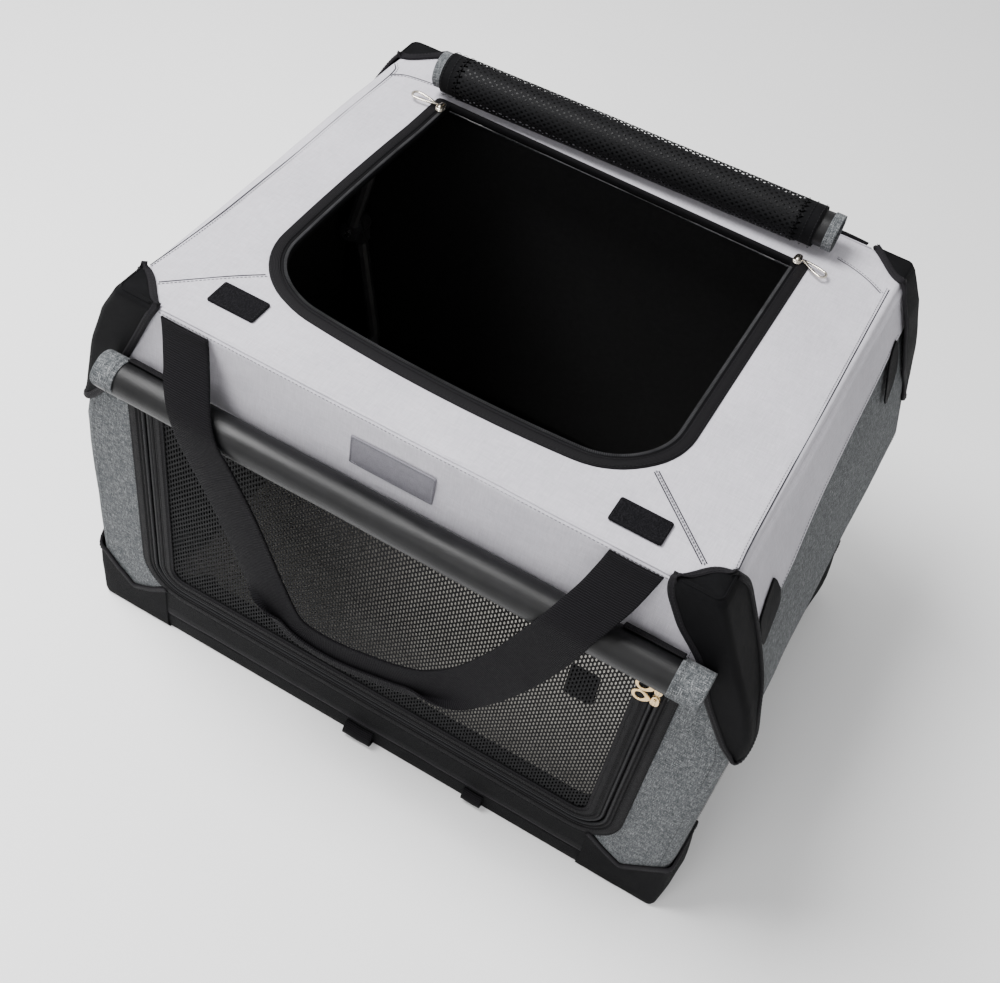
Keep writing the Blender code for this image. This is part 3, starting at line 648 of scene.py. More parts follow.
def rrect(hx, y0, y1, rf, rb, nx=24, ny=18, na=6):
    """Rounded rectangle, anticlockwise from the front left corner's arc."""
    def arc(cx, cy, r, a0):
        return [(cx + r * math.cos(math.radians(a0 + 90 * i / na)),
                 cy + r * math.sin(math.radians(a0 + 90 * i / na))) for i in range(na + 1)]

    def line(p, q, n):
        return [(p[0] + (q[0] - p[0]) * i / n, p[1] + (q[1] - p[1]) * i / n) for i in range(1, n)]

    arcs = [arc(-hx + rf, y0 + rf, rf, 180), arc(hx - rf, y0 + rf, rf, 270),
            arc(hx - rb, y1 - rb, rb, 0), arc(-hx + rb, y1 - rb, rb, 90)]
    pts = []
    for i, a in enumerate(arcs):
        pts += a + line(a[-1], arcs[(i + 1) % 4][0], nx if i % 2 == 0 else ny)
    return arr(pts)


def lift(xy, z):
    xy = arr(xy)
    z = np.broadcast_to(arr(z), (len(xy),))
    return np.concatenate([xy, z[:, None]], 1)


def tabs_box(name, pts, thick, out, mat, round_to=0.0, n=10):
    """Small flat patch: an outline of points given a soft edge and a thickness along out."""
    P = arr(pts)
    o = arr(out) * thick
    c = P.mean(0)
    rows = [P, P + o * 0.7, c + (P - c) * 0.985 + o * 0.97, c + (P - c) * 0.9 + o, c + (P - c) * 0.45 + o * 1.04]
    ob = grid(name, rows, [mat], ring=True, uv="box")
    cap(ob)
    box_uv(ob)
    return ob


def base_squash(ob):
    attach(ob, "base")
    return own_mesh(ob)


# ================================================================ camera
def camera():
    pos = Vector((0.2870, -0.7938, 1.1603))
    fwd = (Vector((0.014, -0.030, 0.2)) - pos).normalized()
    right = fwd.cross(Vector((0, 0, 1))).normalized()
    up = right.cross(fwd)
    a = math.radians(12.33)
    r2 = right * math.cos(a) + up * math.sin(a)
    u2 = -right * math.sin(a) + up * math.cos(a)
    cd = bpy.data.cameras.new("photo_camera")
    cd.sensor_width = 36.0
    cd.sensor_fit = "HORIZONTAL"
    cd.lens = 49.15
    cd.clip_start = 0.01
    cam = bpy.data.objects.new("photo_camera", cd)
    bpy.context.scene.collection.objects.link(cam)
    m = cam.matrix_world.copy()
    for i in range(3):
        m[i][0], m[i][1], m[i][2], m[i][3] = r2[i], u2[i], -fwd[i], pos[i]
    cam.matrix_world = m
    bpy.context.scene.camera = cam


camera()

# ================================================================ roof cloth
def outline(hx, hy, r):
    return rrect(hx, -hy, hy, r, r)


def hatch(f, nx=24, ny=18, na=6, grow=0.0):
    """Outline round the roof opening: f is 0 outside the zip border and 1 at the hole."""
    a = rrect(0.1834 + grow, -0.1545 - grow, 0.1532 + grow, 0.0680, 0.0040, nx, ny, na) - arr((0.0066, 0.0))
    b = rrect(0.1680, -0.1395, 0.1500, 0.0528, 0.0020, nx, ny, na) - arr((0.0065, 0.0))
    q = a * (1 - f) + b * f
    near = np.clip((-0.095 - q[:, 1]) / 0.045, 0, 1)
    bow = np.clip(1 - ((q[:, 0] - 0.008) / 0.150) ** 2, 0, 1)
    q[:, 1] -= (0.0100 - 0.0015 * f) * near * near * (3 - 2 * near) * bow
    side = np.clip(1 - ((q[:, 1] + 0.02) / 0.12) ** 2, 0, 1) * (q[:, 0] < -0.16)
    q[:, 0] -= 0.0025 * side
    return q


inner0 = hatch(0.25)
inner1 = hatch(0.0, grow=0.0004)
edge = outline(0.2462, 0.2098, 0.006)
rows = [lift(inner0, 0.4338), lift(inner1, 0.4344)]
for f in (0.12, 0.25, 0.4, 0.55, 0.7, 0.85, 0.95):
    rows.append(lift(inner1 * (1 - f) + edge * f, 0.4345))
rows += [lift(edge, 0.4347), lift(outline(0.2484, 0.2120, 0.006), 0.4341),
         lift(outline(0.2500, 0.2136, 0.006), 0.4326), lift(outline(0.2508, 0.2143, 0.005), 0.4304)]


def band_row(f):
    """One level of the bands that hang from the roof's edge, f from 0 to 1."""
    base = outline(1.0, 0.2143, 0.005)
    pts = []
    for x, y in base:
        ends = abs(x) > 0.99
        low = 0.3640 if y < 0 else 0.3797
        zf, ze = 0.4280 + (low - 0.4280) * f, 0.4280 + (end_low(y) - 0.4280) * f
        if ends:
            k = min(max((0.2143 - abs(y)) / 0.030, 0.0), 1.0)
            z = zf + (ze - zf) * k * k * (3 - 2 * k)
            pts.append((math.copysign(end_x(z) + 0.0006 * k, x), y, z))
        else:
            lim = end_x(zf)
            out = 0.0019 * min(max((0.395 - zf) / 0.012, 0.0), 1.0) if y < 0 else 0.0
            pts.append((x * lim if abs(x) < 0.9999 else math.copysign(lim, x), y * 0.999 - out, zf))
    return arr(pts)


def end_low(y):
    """Lower edge of the bands at the ends: it rises towards the back."""
    return float(np.interp(y, [-0.21, -0.13, -0.085, -0.056, -0.014, 0.022, 0.06, 0.106, 0.156, 0.21],
                           [0.362, 0.3665, 0.3735, 0.379, 0.384, 0.386, 0.388, 0.3905, 0.395, 0.396]))


rows += [band_row(f) for f in (0.0, 0.14, 0.3, 0.45, 0.6, 0.75, 0.88, 0.96, 1.0)]
last = rows[-1].copy()
rows.append(last * [0.9985, 0.9975, 1.0] + [0, 0, -0.0004])
P = arr(rows)
mask = np.ones(P.shape[:2])
mask[:2] = 0.15
mask[2:6] *= 0.6
mask[9:13] = 0.30
mask[-3:] = 0.35
on_front = np.abs(P[..., 1]) > 0.2095
corner = np.where(on_front, (0.205 - np.abs(P[..., 0])) / 0.03, (0.150 - np.abs(P[..., 1])) / 0.03)
mask[9:] *= np.clip(corner[9:], 0, 1)
mask[2:9] *= np.clip(((0.232 - np.abs(P[2:9, :, 0])) + np.maximum(0.175 - np.abs(P[2:9, :, 1]), 0)) / 0.02, 0, 1)
P = ripple(P, 3, 9.0, 0.0011, ring=True, mask=mask)
top_cloth = grid("roof_cloth", P, [PALE, INNER], ring=True, uv="box", out=lambda p: (p[0] * 0.3, p[1] * 0.3, 1.0))
solid(top_cloth, 0.0014, -1.0, inner=1)
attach(top_cloth, "roof")
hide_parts("top_panel", "front_band", "back_band", "side_band_left", "side_band_right")

# seams of the roof: a dark line where the cloths meet, with a row of thread beside it
UP = (0, 0, 1)
SEAMS = [
    [(-0.2505, -0.178), (-0.2470, -0.145), (-0.2444, -0.098), (-0.2433, -0.045), (-0.2422, 0.011), (-0.2428, 0.074), (-0.2422, 0.157), (-0.2480, 0.172)],
    [(0.2495, -0.180), (0.2480, -0.149), (0.2470, -0.080), (0.2465, -0.011), (0.2452, 0.080), (0.2441, 0.169)],
    [(-0.1749, -0.1341), (-0.1932, -0.1504), (-0.2148, -0.1718), (-0.2330, -0.1900)],
    [(0.1635, -0.1351), (0.1930, -0.1615), (0.2261, -0.1912)],
    [(0.1660, -0.1325), (0.1955, -0.1588), (0.2290, -0.1888)],
    [(-0.2418, 0.156), (-0.2294, 0.1639), (-0.2034, 0.1684), (-0.1897, 0.1693)],
    [(0.193, 0.1791), (0.2093, 0.1754), (0.2249, 0.1691), (0.2390, 0.1605)],
]


def on_roof(q, up=0.0):
    """Path on the roof cloth's top, following the curve at its edges."""
    out = []
    for x, y in q:
        d = max(abs(x) - 0.2462, 0.0)
        out.append((x, y, 0.4347 - (0.0013 * (d / 0.0045) ** 2 if d else 0.0) + up))
    return out


paths = [smooth_path([(x, y, 0) for x, y in s], 50)[:, :2] for s in SEAMS]
ob = cords("roof_seam_lines", [(on_roof(p, 0.00012), UP) for p in paths], SEAM, 0.00050, 0.00022)
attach(ob, "roof")
lines = []
for p, side in zip(paths, (1, -1, -1, -1, 1, 1, -1)):
    t = tangents(p)
    lines.append((on_roof(p + np.stack([-t[:, 1], t[:, 0]], 1) * 0.0022 * -side, 0.0002), UP))
ob = stitches("roof_seams", lines, PALE_THREAD)
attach(ob, "roof")

welt = []
for sy in (-1, 1):
    path = arr([(x, sy * 0.2118, 0.4347) for x in np.linspace(-0.2135, 0.2135, 90)])
    path += arr([(0, wave((p[0], 0, 0), 5, 18, 0.0004), wave((p[0], 1, 0), 6, 18, 0.0003)) for p in path])
    ob = sweep("roof_welt_" + ("front" if sy < 0 else "back"), path, (0, sy * 0.6, 0.8),
               [(0.0011 * math.cos(a), 0.0006 * math.sin(a) + 0.0001) for a in np.linspace(0, 2 * PI, 8, endpoint=False)], [PALE])
    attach(ob, "roof")
    welt.append((path + arr((0, sy * 0.0022, -0.0028)), (0, sy * 1.0, 0.35)))
hem = [([(x, sy * 0.2146, 0.3838) for x in np.linspace(-0.225, 0.225, 40)], (0, sy, 0)) for sy in (-1, 1)]
hem += [([(s * (end_x(end_low(y) + 0.0035) + 0.0009), y, end_low(y) + 0.0035) for y in np.linspace(-0.150, 0.165, 60)], (s, 0, 0.4)) for s in (-1, 1)]
ob = stitches("band_stitching", welt + hem, PALE_THREAD, pitch=0.0033)
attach(ob, "roof")

# ================================================================ roof hatch border
prof = [(0.0000, 0.4346), (0.0005, 0.4357), (0.0018, 0.4362), (0.0050, 0.4364), (0.0088, 0.4363), (0.0100, 0.4357),
        (0.0104, 0.4349), (0.0110, 0.4349), (0.0114, 0.4357), (0.0122, 0.4358), (0.0128, 0.4351), (0.0152, 0.4349),
        (0.0160, 0.4340), (0.0163, 0.4300), (0.0152, 0.4298), (0.0145, 0.4325), (0.0100, 0.4332), (0.0, 0.4336)]
rows = [lift(hatch(d / 0.0163, 40, 34, 14), z) for d, z in prof]
fm = [0] * 8 + [1] * 10
ob = grid("hatch_zip_border", rows, [ZIPTAPE, GUARD], ring=True, tube=True, fm=fm, out=lambda p: (0, 0, 1))
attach(ob, "roof")
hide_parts("top_zip_border")


def hatch_u(d, z):
    """The zip's own line: down the left side, along the front and up the right side."""
    q = hatch(d / 0.0163, 40, 34, 14)
    start = len(q) - 33
    return lift(np.concatenate([q[start:], q[:15 + 39 + 15 + 33]]), z)


ob = teeth("hatch_zip_teeth", hatch_u(0.0139, 0.4350), UP, TEETH, 0.00165, (0.0009, 0.0026, 0.0011))
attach(ob, "roof")
ob = stitches("hatch_border_stitching", [(hatch_u(d, 0.4365), UP) for d in (0.0015, 0.0092)], DARK_THREAD, pitch=0.0030)
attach(ob, "roof")

# ================================================================ corner caps of the roof
TAPE_EDGE = [(-0.0009, -0.0014), (-0.0013, -0.0002), (-0.0009, 0.0008), (0.0006, 0.0013), (0.0030, 0.0012),
             (0.0044, 0.0009), (0.0050, 0.0002), (0.0046, -0.0004), (0.0, -0.0016)]


CAPS = {   # front edge x(z), end edge y(z), corner x(z), inner edge of the flap, lower edge z along the cap
    "right": dict(
        xf=([0.2777, 0.2872, 0.3288, 0.3687, 0.3939, 0.4226, 0.4350], [0.3045, 0.2943, 0.2693, 0.2533, 0.2308, 0.2150, 0.2128]),
        dy=([0.2700, 0.3000, 0.3204, 0.3304, 0.3388, 0.3500, 0.3647, 0.3775, 0.4060, 0.4238, 0.4375],
            [0.2010, 0.1990, 0.1978, 0.1941, 0.1882, 0.1817, 0.1770, 0.1750, 0.1742, 0.1751, 0.1840]),
        xc=([0.2700, 0.2850, 0.3000, 0.3200, 0.3400, 0.3720, 0.4020, 0.4350], [0.3105, 0.3120, 0.3110, 0.3060, 0.2985, 0.2815, 0.2675, 0.2520]),
        flap=[(0.2140, -0.2135), (0.2222, -0.2055), (0.2317, -0.1927), (0.2384, -0.1870), (0.2473, -0.1849), (0.2530, -0.1855)],
        low=[0.2795, 0.2735, 0.2710, 0.2770, 0.3000]),
    "left": dict(
        xf=([0.2880, 0.2894, 0.3067, 0.3286, 0.3955, 0.4260, 0.4350], [0.2955, 0.2934, 0.2790, 0.2645, 0.2337, 0.2201, 0.2150]),
        dy=([0.2880, 0.3100, 0.3204, 0.3304, 0.3388, 0.3500, 0.3647, 0.3775, 0.4060, 0.4238, 0.4375],
            [0.2000, 0.1985, 0.1970, 0.1935, 0.1882, 0.1817, 0.1770, 0.1750, 0.1742, 0.1751, 0.1830]),
        xc=([0.2873, 0.3023, 0.3351, 0.3638, 0.4057, 0.4350], [0.3010, 0.2965, 0.2890, 0.2822, 0.2685, 0.2530]),
        flap=[(0.2145, -0.2135), (0.2261, -0.2022), (0.2360, -0.1912), (0.2430, -0.1850), (0.2492, -0.1824), (0.2530, -0.1825)],
        low=[0.2900, 0.2890, 0.2885, 0.2890, 0.2910]),
}
CAPS["back"] = dict(CAPS["left"], low=[0.3060, 0.3010, 0.2990, 0.3010, 0.3060])


def guard_section(z, xf, d, off, nf=9, na=7, ne=9, r=0.0065, xc=None):
    """Front edge to end edge of a corner cap at height z (right front corner)."""
    xc, yc = (end_x(z) if xc is None else xc) + 0.0006 + off, HALF_W + 0.0016 + off
    xf = min(xf, xc - r - 0.0005)
    pts = [(xf + (xc - r - xf) * i / nf, -yc) for i in range(nf)]
    pts += [(xc - r + r * math.sin(PI / 2 * i / na), -yc + r - r * math.cos(PI / 2 * i / na)) for i in range(na)]
    pts += [(xc, -yc + r + (yc - r - d) * i / ne) for i in range(ne + 1)]
    return arr(pts)


def corner_cap(tag, sx, sy):
    shape = CAPS["back" if sy > 0 else "right" if sx > 0 else "left"]
    xf = lambda z: float(np.interp(z, *shape["xf"]))
    dy = lambda z: float(np.interp(z, *shape["dy"]))
    xc = lambda z: float(np.interp(z, *shape["xc"]))
    n = 9 + 7 + 9 + 1
    s = np.linspace(0, 1, n)
    hyp = resample(shape["flap"], n=n)
    base = guard_section(0.435, xf(0.435), dy(0.4375), 0.0, xc=xc(0.435))
    c = arr((0.0, 0.0))
    inset = lambda q, k: np.stack([q[:, 0] - k * np.clip((s - 0.25) / 0.3, 0, 1), q[:, 1] + k * np.clip((0.8 - s) / 0.3, 0, 1)], 1)
    rows = []
    for f, k, z in ((0.0, 0.004, 0.4362), (0.3, 0.004, 0.4372), (0.65, 0.004, 0.4376), (1.0, 0.0045, 0.4375),
                    (1.0, 0.0018, 0.4368), (1.0, 0.0004, 0.4352)):
        q = inset(base, k)
        rows.append(lift(hyp * (1 - f) + q * f, z))
    top, n_rows = 0.4325, 21
    zb = np.interp(s, [0.0, 0.35, 0.5, 0.62, 1.0], shape["low"])
    for j in range(n_rows):
        t = j / (n_rows - 1)
        pts = []
        for i in range(n):
            z = top + (zb[i] - top) * t
            bulge = 0.0008 * math.sin(PI * s[i]) * math.sin(PI * min(t * 1.15, 1.0))
            q = guard_section(z, xf(z), dy(z), (0.0013 if sy < 0 else 0.0003) + bulge, xc=xc(z))[i]
            pts.append((q[0], q[1], z))
        rows.append(arr(pts))
    P = arr(rows)
    P = ripple(P, 11 + sx + 2 * sy, 30.0, 0.0005)
    welt = [tuple(q) for q in P[4, 2:-1] * [sx, -sy, 1.0]]
    P = P * [sx, -sy, 1.0]
    outw = lambda p: (p[0], p[1], 0.25)
    cloth = grid("roof_guard_" + tag, P, [GUARD, INNER], out=outw)
    N = grid_normals(P)
    if (N[10, 12] * arr((sx, sy, 0))).sum() < 0:
        N = -N
    solid(cloth, 0.0016, -1.0, inner=1)
    # bound edge all round, with two rows of thread
    loop = [(0, i) for i in range(n)] + [(j, n - 1) for j in range(1, len(rows))]
    loop += [(len(rows) - 1, i) for i in range(n - 2, -1, -1)] + [(j, 0) for j in range(len(rows) - 2, 0, -1)]
    path = arr([P[a] for a in loop])
    up = arr([N[a] for a in loop])
    keep = [0]
    for i in range(1, len(path)):
        if np.linalg.norm(path[i] - path[keep[-1]]) > 0.0016:
            keep.append(i)
    path, up = path[keep], unit(up[keep])
    # the normals count for little in the length, so that the points stand evenly along the edge
    both = resample(np.concatenate([path, up * 0.001], 1), n=130, closed=True)
    path, up = both[:, :3], unit(both[:, 3:])
    for _ in range(3):
        path = path * 0.5 + 0.25 * (np.roll(path, 1, 0) + np.roll(path, -1, 0))
        up = unit(up + 0.5 * (np.roll(up, 1, 0) + np.roll(up, -1, 0)))
    S = np.cross(tangents(path, True), up)
    k = len(path) // 3
    sign = 1.0 if (S * (P.reshape(-1, 3).mean(0) - path)).sum() > 0 else -1.0
    tape = sweep("roof_guard_tape_" + tag, path, up, TAPE_EDGE, [TAPE], closed=True, side_sign=sign)
    inn = path + S * sign * 0.0036 + up * 0.0013
    inn2 = path + S * sign * 0.0012 + up * 0.0014
    close = lambda q: np.concatenate([q, q[:1]])
    st = stitches("roof_guard_thread_" + tag, [(close(inn), close(up)), (close(inn2), close(up))], DARK_THREAD, pitch=0.0032)
    crest = cords("roof_guard_crest_" + tag, [(welt, (sx * 0.3, sy * 0.5, 0.8))], GUARD, 0.0009, 0.0006)
    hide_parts("top_guard_" + tag)
    for o in (cloth, tape, st, crest):
        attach(o, "roof")
        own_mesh(o)


for tag, sx, sy in (("fl", -1, -1), ("fr", 1, -1), ("bl", -1, 1), ("br", 1, 1)):
    corner_cap(tag, sx, sy)

# ================================================================ walls
def round_corner(p, r=0.008):
    """Bend cloth round the upright corners of the crate."""
    x, y, z = p
    lim = end_x(z) + 0.0
    start = lim - r
    if abs(x) <= start:
        return (x, y, z)
    a = min((abs(x) - start) / r, 1.0) * PI / 2
    return (math.copysign(start + r * math.sin(a), x), math.copysign(abs(y) - r + r * math.cos(a), y), z)


def u_outline(hx, low, r, top, n_side=26, n_low=34, n_arc=10):
    """Left side down, round the corner, along the bottom and up the right side, as (x, z)."""
    pts = [(-hx, top + (low + r - top) * i / n_side) for i in range(n_side)]
    pts += [(-hx + r - r * math.cos(PI / 2 * i / n_arc), low + r - r * math.sin(PI / 2 * i / n_arc)) for i in range(n_arc)]
    pts += [(-hx + r + (2 * hx - 2 * r) * i / n_low, low) for i in range(n_low)]
    pts += [(hx - r + r * math.sin(PI / 2 * i / n_arc), low + r - r * math.cos(PI / 2 * i / n_arc)) for i in range(n_arc)]
    pts += [(hx, low + r + (top - low - r) * i / n_side) for i in range(n_side + 1)]
    return arr(pts)


def wall_outline(inner, n_side=26, n_low=34, n_arc=10):
    """The front wall's own outer edge, matched point for point to the door opening."""
    out = []
    total = len(inner)
    for i, (x, z) in enumerate(inner):
        if i <= n_side or i >= total - 1 - n_side:
            zz = z
            if z < 0.14:
                zz = 0.14 + (z - 0.14) * (0.14 - 0.055) / (0.14 - 0.1017)
            out.append((math.copysign(end_x(zz), x), zz))
        elif i < n_side + n_arc or i > total - 1 - n_side - n_arc:
            k = (i - n_side) / n_arc if i < total / 2 else (total - 1 - n_side - i) / n_arc
            c = [(0.305, 0.055), (0.305, 0.0302), (0.225, 0.0302)]
            if k < 0.45:
                f = k / 0.45
                q = (0.305, 0.055 + (0.0302 - 0.055) * f)
            else:
                f = (k - 0.45) / 0.55
                q = (0.305 + (0.225 - 0.305) * f, 0.0302)
            out.append((math.copysign(q[0], x), q[1]))
        else:
            out.append((x * 0.225 / 0.2078, 0.0302))
    return arr(out)


inner = u_outline(0.2485, 0.0610, 0.0405, 0.3790)
outer = wall_outline(inner)
rows = []
for f in (0.0, 0.15, 0.3, 0.45, 0.6, 0.72, 0.82, 0.9, 0.95, 1.0):
    q = inner * (1 - f) + outer * f
    rows.append([round_corner((x, -0.2142, z)) for x, z in q])
P = arr(rows)
mask = np.ones(P.shape[:2])
mask[0] = 0.1
mask[-1] = 0.1
# lies flat under the black panel along the door's lower edge
mask *= np.maximum(np.clip((P[..., 2] - 0.068) / 0.03, 0.0, 1.0), np.clip((np.abs(P[..., 0]) - 0.262) / 0.015, 0.0, 1.0))
P = ripple(P, 21, 14.0, 0.0010, mask=mask)
front_cloth = grid("front_wall_cloth", P, [HEATHER, INNER], uv="box", out=lambda p: (0, -1, 0))
solid(front_cloth, 0.0014, -1.0, inner=1)
base_squash(front_cloth)
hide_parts("front_wall")

rows = []
for z in np.linspace(0.0302, 0.3790, 26):
    rows.append([round_corner((t * end_x(z), 0.2142, z)) for t in np.concatenate([np.linspace(-1, -0.965, 6), np.linspace(-0.94, 0.94, 44), np.linspace(0.965, 1, 6)])])
P = ripple(rows, 27, 11.0, 0.0012)
back_cloth = grid("back_wall_cloth", P, [HEATHER, INNER], uv="box", out=lambda p: (0, 1, 0))
solid(back_cloth, 0.0014, -1.0, inner=1)
base_squash(back_cloth)
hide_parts("back_wall")

for side, s in (("left", -1), ("right", 1)):
    rows = []
    for z in np.concatenate([np.linspace(0.0302, 0.262, 20), np.linspace(0.272, 0.4245, 14)]):
        rows.append([(s * (end_x(z) - 0.0026 * min(max((z - 0.335) / 0.03, 0.0), 1.0)), y, z) for y in np.linspace(-0.2064, 0.2064, 46)])
    P = ripple(rows, 31 + s, 11.0, 0.0011, mask=np.pad(np.ones((32, 44)), 1, constant_values=0.05))
    ob = grid("end_wall_cloth_" + side, P, [HEATHER, INNER], uv="box", out=lambda p: (p[0], 0, 0))
    solid(ob, 0.0014, -1.0, inner=1)
    base_squash(ob)
    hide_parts("end_wall_" + side)

lines = []
for s in (-1, 1):
    for sy in (-1, 1):
        lines.append(([(s * (end_x(z) - 0.0095), sy * 0.2147, z) for z in np.linspace(0.032, 0.330, 80)], (0, sy, 0)))
        lines.append(([(s * (end_x(z) + 0.0006), sy * 0.2015, z) for z in np.linspace(0.032, 0.330, 80)], (s, 0, 0)))
ob = stitches("wall_seams", lines, HEATHER_THREAD, pitch=0.0032, r=0.00028)
base_squash(ob)

# ================================================================ zip border round the door
def u_rows(prof, hx, low, r, top, y_out, **kw):
    """Profile of (inward, height) carried round a U: rows of points facing -Y."""
    rows = []
    for d, h in prof:
        q = u_outline(hx - d, low + d, max(r - d, 0.004), top, **kw)
        rows.append([(x, y_out - h, z) for x, z in q])
    return arr(rows)


# outer band on the wall, from its outer edge inwards
prof = [(0.0, -0.0004), (0.0004, 0.0008), (0.0016, 0.0014), (0.0045, 0.0016), (0.0075, 0.0014), (0.0088, 0.0008), (0.0092, 0.0002),
        (0.0098, 0.0002), (0.0102, 0.0010), (0.0112, 0.0014), (0.0122, 0.0010), (0.0126, 0.0002), (0.0134, 0.0002),
        (0.0138, 0.0011), (0.0148, 0.0017), (0.0158, 0.0011), (0.0164, -0.0002), (0.0162, -0.0016), (0.008, -0.0020), (0.0, -0.0018)]
P = u_rows(prof, 0.2535, 0.0560, 0.0457, 0.3795, -0.2142)
ob = grid("door_zip_border", P, [ZIPTAPE, COIL], tube=True, fm=[0] * 13 + [1] * 3 + [0] * 4, out=lambda p: (0, -1, 0))
cap(ob)
base_squash(ob)
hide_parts("front_zip_border")
lines = []
for d in (0.0014, 0.0080):
    lines.append(([(x, -0.2159, z) for x, z in u_outline(0.2535 - d, 0.0560 + d, 0.0457 - d, 0.378)], (0, -1, 0)))
st = stitches("door_border_thread", lines, DARK_THREAD, pitch=0.0031)
base_squash(st)

# ================================================================ door
prof = [(0.0, -0.0010), (0.0002, 0.0006), (0.0012, 0.0014), (0.0024, 0.0010), (0.0028, 0.0001), (0.0034, 0.0001), (0.0038, 0.0009),
        (0.0050, 0.0013), (0.0062, 0.0009), (0.0066, 0.0001), (0.0072, 0.0001), (0.0078, 0.0010), (0.0100, 0.0015), (0.0130, 0.0015),
        (0.0148, 0.0011), (0.0153, 0.0004), (0.0160, 0.0006), (0.0170, 0.0004), (0.0172, -0.0006), (0.0150, -0.0018), (0.0010, -0.0030),
        (-0.0026, -0.0029), (-0.0028, -0.0023), (-0.0003, -0.0019)]      # a lip behind the zip closes the gap
P = u_rows(prof, 0.2355, 0.0735, 0.0290, 0.3785, -0.2138)
frame_ob = grid("door_frame_tape", P, [ZIPTAPE, COIL, TAPE], tube=True, fm=[1] * 4 + [0] * 10 + [2] * 3 + [0] * 7, out=lambda p: (0, -1, 0))
cap(frame_ob)
lines = []
for d in (0.0089, 0.0137, 0.0165):
    lines.append(([(x, -0.2153 + (0.0009 if d > 0.016 else 0.0), z) for x, z in u_outline(0.2355 - d, 0.0735 + d, 0.0290 - d, 0.377)], (0, -1, 0)))
frame_st = stitches("door_frame_thread", lines, DARK_THREAD, pitch=0.0030)
bar = sweep("door_top_tape", [(x, -0.2130, 0.3722) for x in np.linspace(-0.2345, 0.2345, 60)], (0, -1, 0),
            tape_profile(0.0125, 0.0022), [ZIPTAPE])


def net(name, cells, place, mat, cx, cz, hole, lens, wrap=0):
    """Knitted mesh: a diamond cell round each long hole, thick at the strands, thin at the holes.

    cells lists (column, row); place(u, v, h) puts a point at height h off the net.
    Both faces meet along the outer edge; wrap is the number of rows of a closed sleeve.
    """
    verts, index, faces, used = [], {}, [], {}
    turn = (lambda j: j % wrap) if wrap else (lambda j: j)
    for c, r in cells:
        for k in ((c, turn(r + 1)), (c, turn(r - 1)), (c - 1, turn(r)), (c + 1, turn(r))):
            used[k] = used.get(k, 0) + 1

    def corner(i, j, h):
        if used[(i, turn(j))] < 4:
            h = 0.0
        key = (i, turn(j), (h > 0) - (h < 0))
        if key not in index:
            index[key] = len(verts)
            verts.append(place(i * cx, j * cz / 2, h))
        return index[key]

    hw, hh = hole
    rim = [(0.5 * hw, hh), (hw, 0.0), (0.5 * hw, -hh), (-0.5 * hw, -hh), (-hw, 0.0), (-0.5 * hw, hh)]
    for c, r in cells:          # centre at (c * cx, r * cz / 2), c + r even
        o = []
        for du, dv in rim:
            o.append(len(verts))
            verts.append(place(c * cx + du, r * cz / 2 + dv, 0.0))
        for h in (lens, -lens):
            t, b = corner(c, r + 1, h), corner(c, r - 1, h)
            l, g = corner(c - 1, r, h), corner(c + 1, r, h)
            fs = [(t, o[0], o[5]), (t, g, o[1], o[0]), (g, b, o[2], o[1]), (b, o[3], o[2]), (b, l, o[4], o[3]), (l, t, o[5], o[4])]
            faces += fs if h < 0 else [f[::-1] for f in fs]
    ob = mesh_object(name, verts, faces, [mat])
    ob.data.set_sharp_from_angle(angle=math.radians(60))
    return ob


def inside_door(x, z):
    if abs(x) > 0.2215 or z < 0.0868 or z > 0.3775:
        return False
    r = 0.017
    dx, dz = abs(x) - (0.2215 - r), (0.0868 + r) - z
    return not (dx > 0 and dz > 0 and math.hypot(dx, dz) > r)


CX, CZ = 0.00287, 0.0062


def door_point(u, v, h):
    # the net bellies out a little between its bound edges
    belly = 0.0016 * (1 - (u / 0.2215) ** 2) * max(0.0, 1 - ((v - 0.23) / 0.150) ** 2)
    return (u, -0.2130 - belly * 0.55 - h + wave((u, 0.0, v), 41, 22.0, 0.00035), v)


cells = [(c, r) for c in range(-80, 81) for r in range(24, 124) if (c + r) % 2 == 0 and inside_door(c * CX, r * CZ / 2)]
net_ob = net("door_net", cells, door_point, NET, CX, CZ, (0.00088, 0.00190), 0.00030)
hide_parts("front_door")

# small loop patch on the net
q = [(0.166, 0.241), (0.1705, 0.2395), (0.1900, 0.2400), (0.1925, 0.2425), (0.1920, 0.2785), (0.1885, 0.2808), (0.1690, 0.2803), (0.1660, 0.2780)]
q = resample(q, n=40, closed=True)
patch = tabs_box("door_loop_patch", [(x, -0.2112, z) for x, z in q], 0.0013, (0, 1, 0), HOOK)
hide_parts("door_patch")
for o in (frame_ob, frame_st, bar, net_ob, patch):
    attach(o, "door")
    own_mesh(o)

# ================================================================ base
rows = [lift(outline(0.2900, 0.1990, 0.004), 0.0), lift(outline(0.3025, 0.2115, 0.004), 0.0),
        lift(outline(0.3044, 0.2134, 0.005), 0.0008), lift(outline(0.3050, 0.2140, 0.005), 0.0030)]
for z in (0.008, 0.013, 0.018, 0.0222):
    rows.append(lift(outline(0.3051, 0.2141, 0.005), z))
rows += [lift(outline(0.3047, 0.2137, 0.005), 0.0228), lift(outline(0.3053, 0.2143, 0.005), 0.0236), lift(outline(0.3060, 0.2150, 0.005), 0.0262),
         lift(outline(0.3058, 0.2148, 0.005), 0.0290), lift(outline(0.3048, 0.2138, 0.005), 0.0302)]
P = arr(rows)
mask = np.ones(P.shape[:2])
mask[:4] = 0.0
P = ripple(P, 51, 26.0, 0.0007, ring=True, mask=mask)
base_cloth = grid("base_cloth", P, [HEM, TAPE, INNER], ring=True, uv="box", fm=[0] * 7 + [1] * 5, out=lambda p: (p[0], p[1], -0.01))
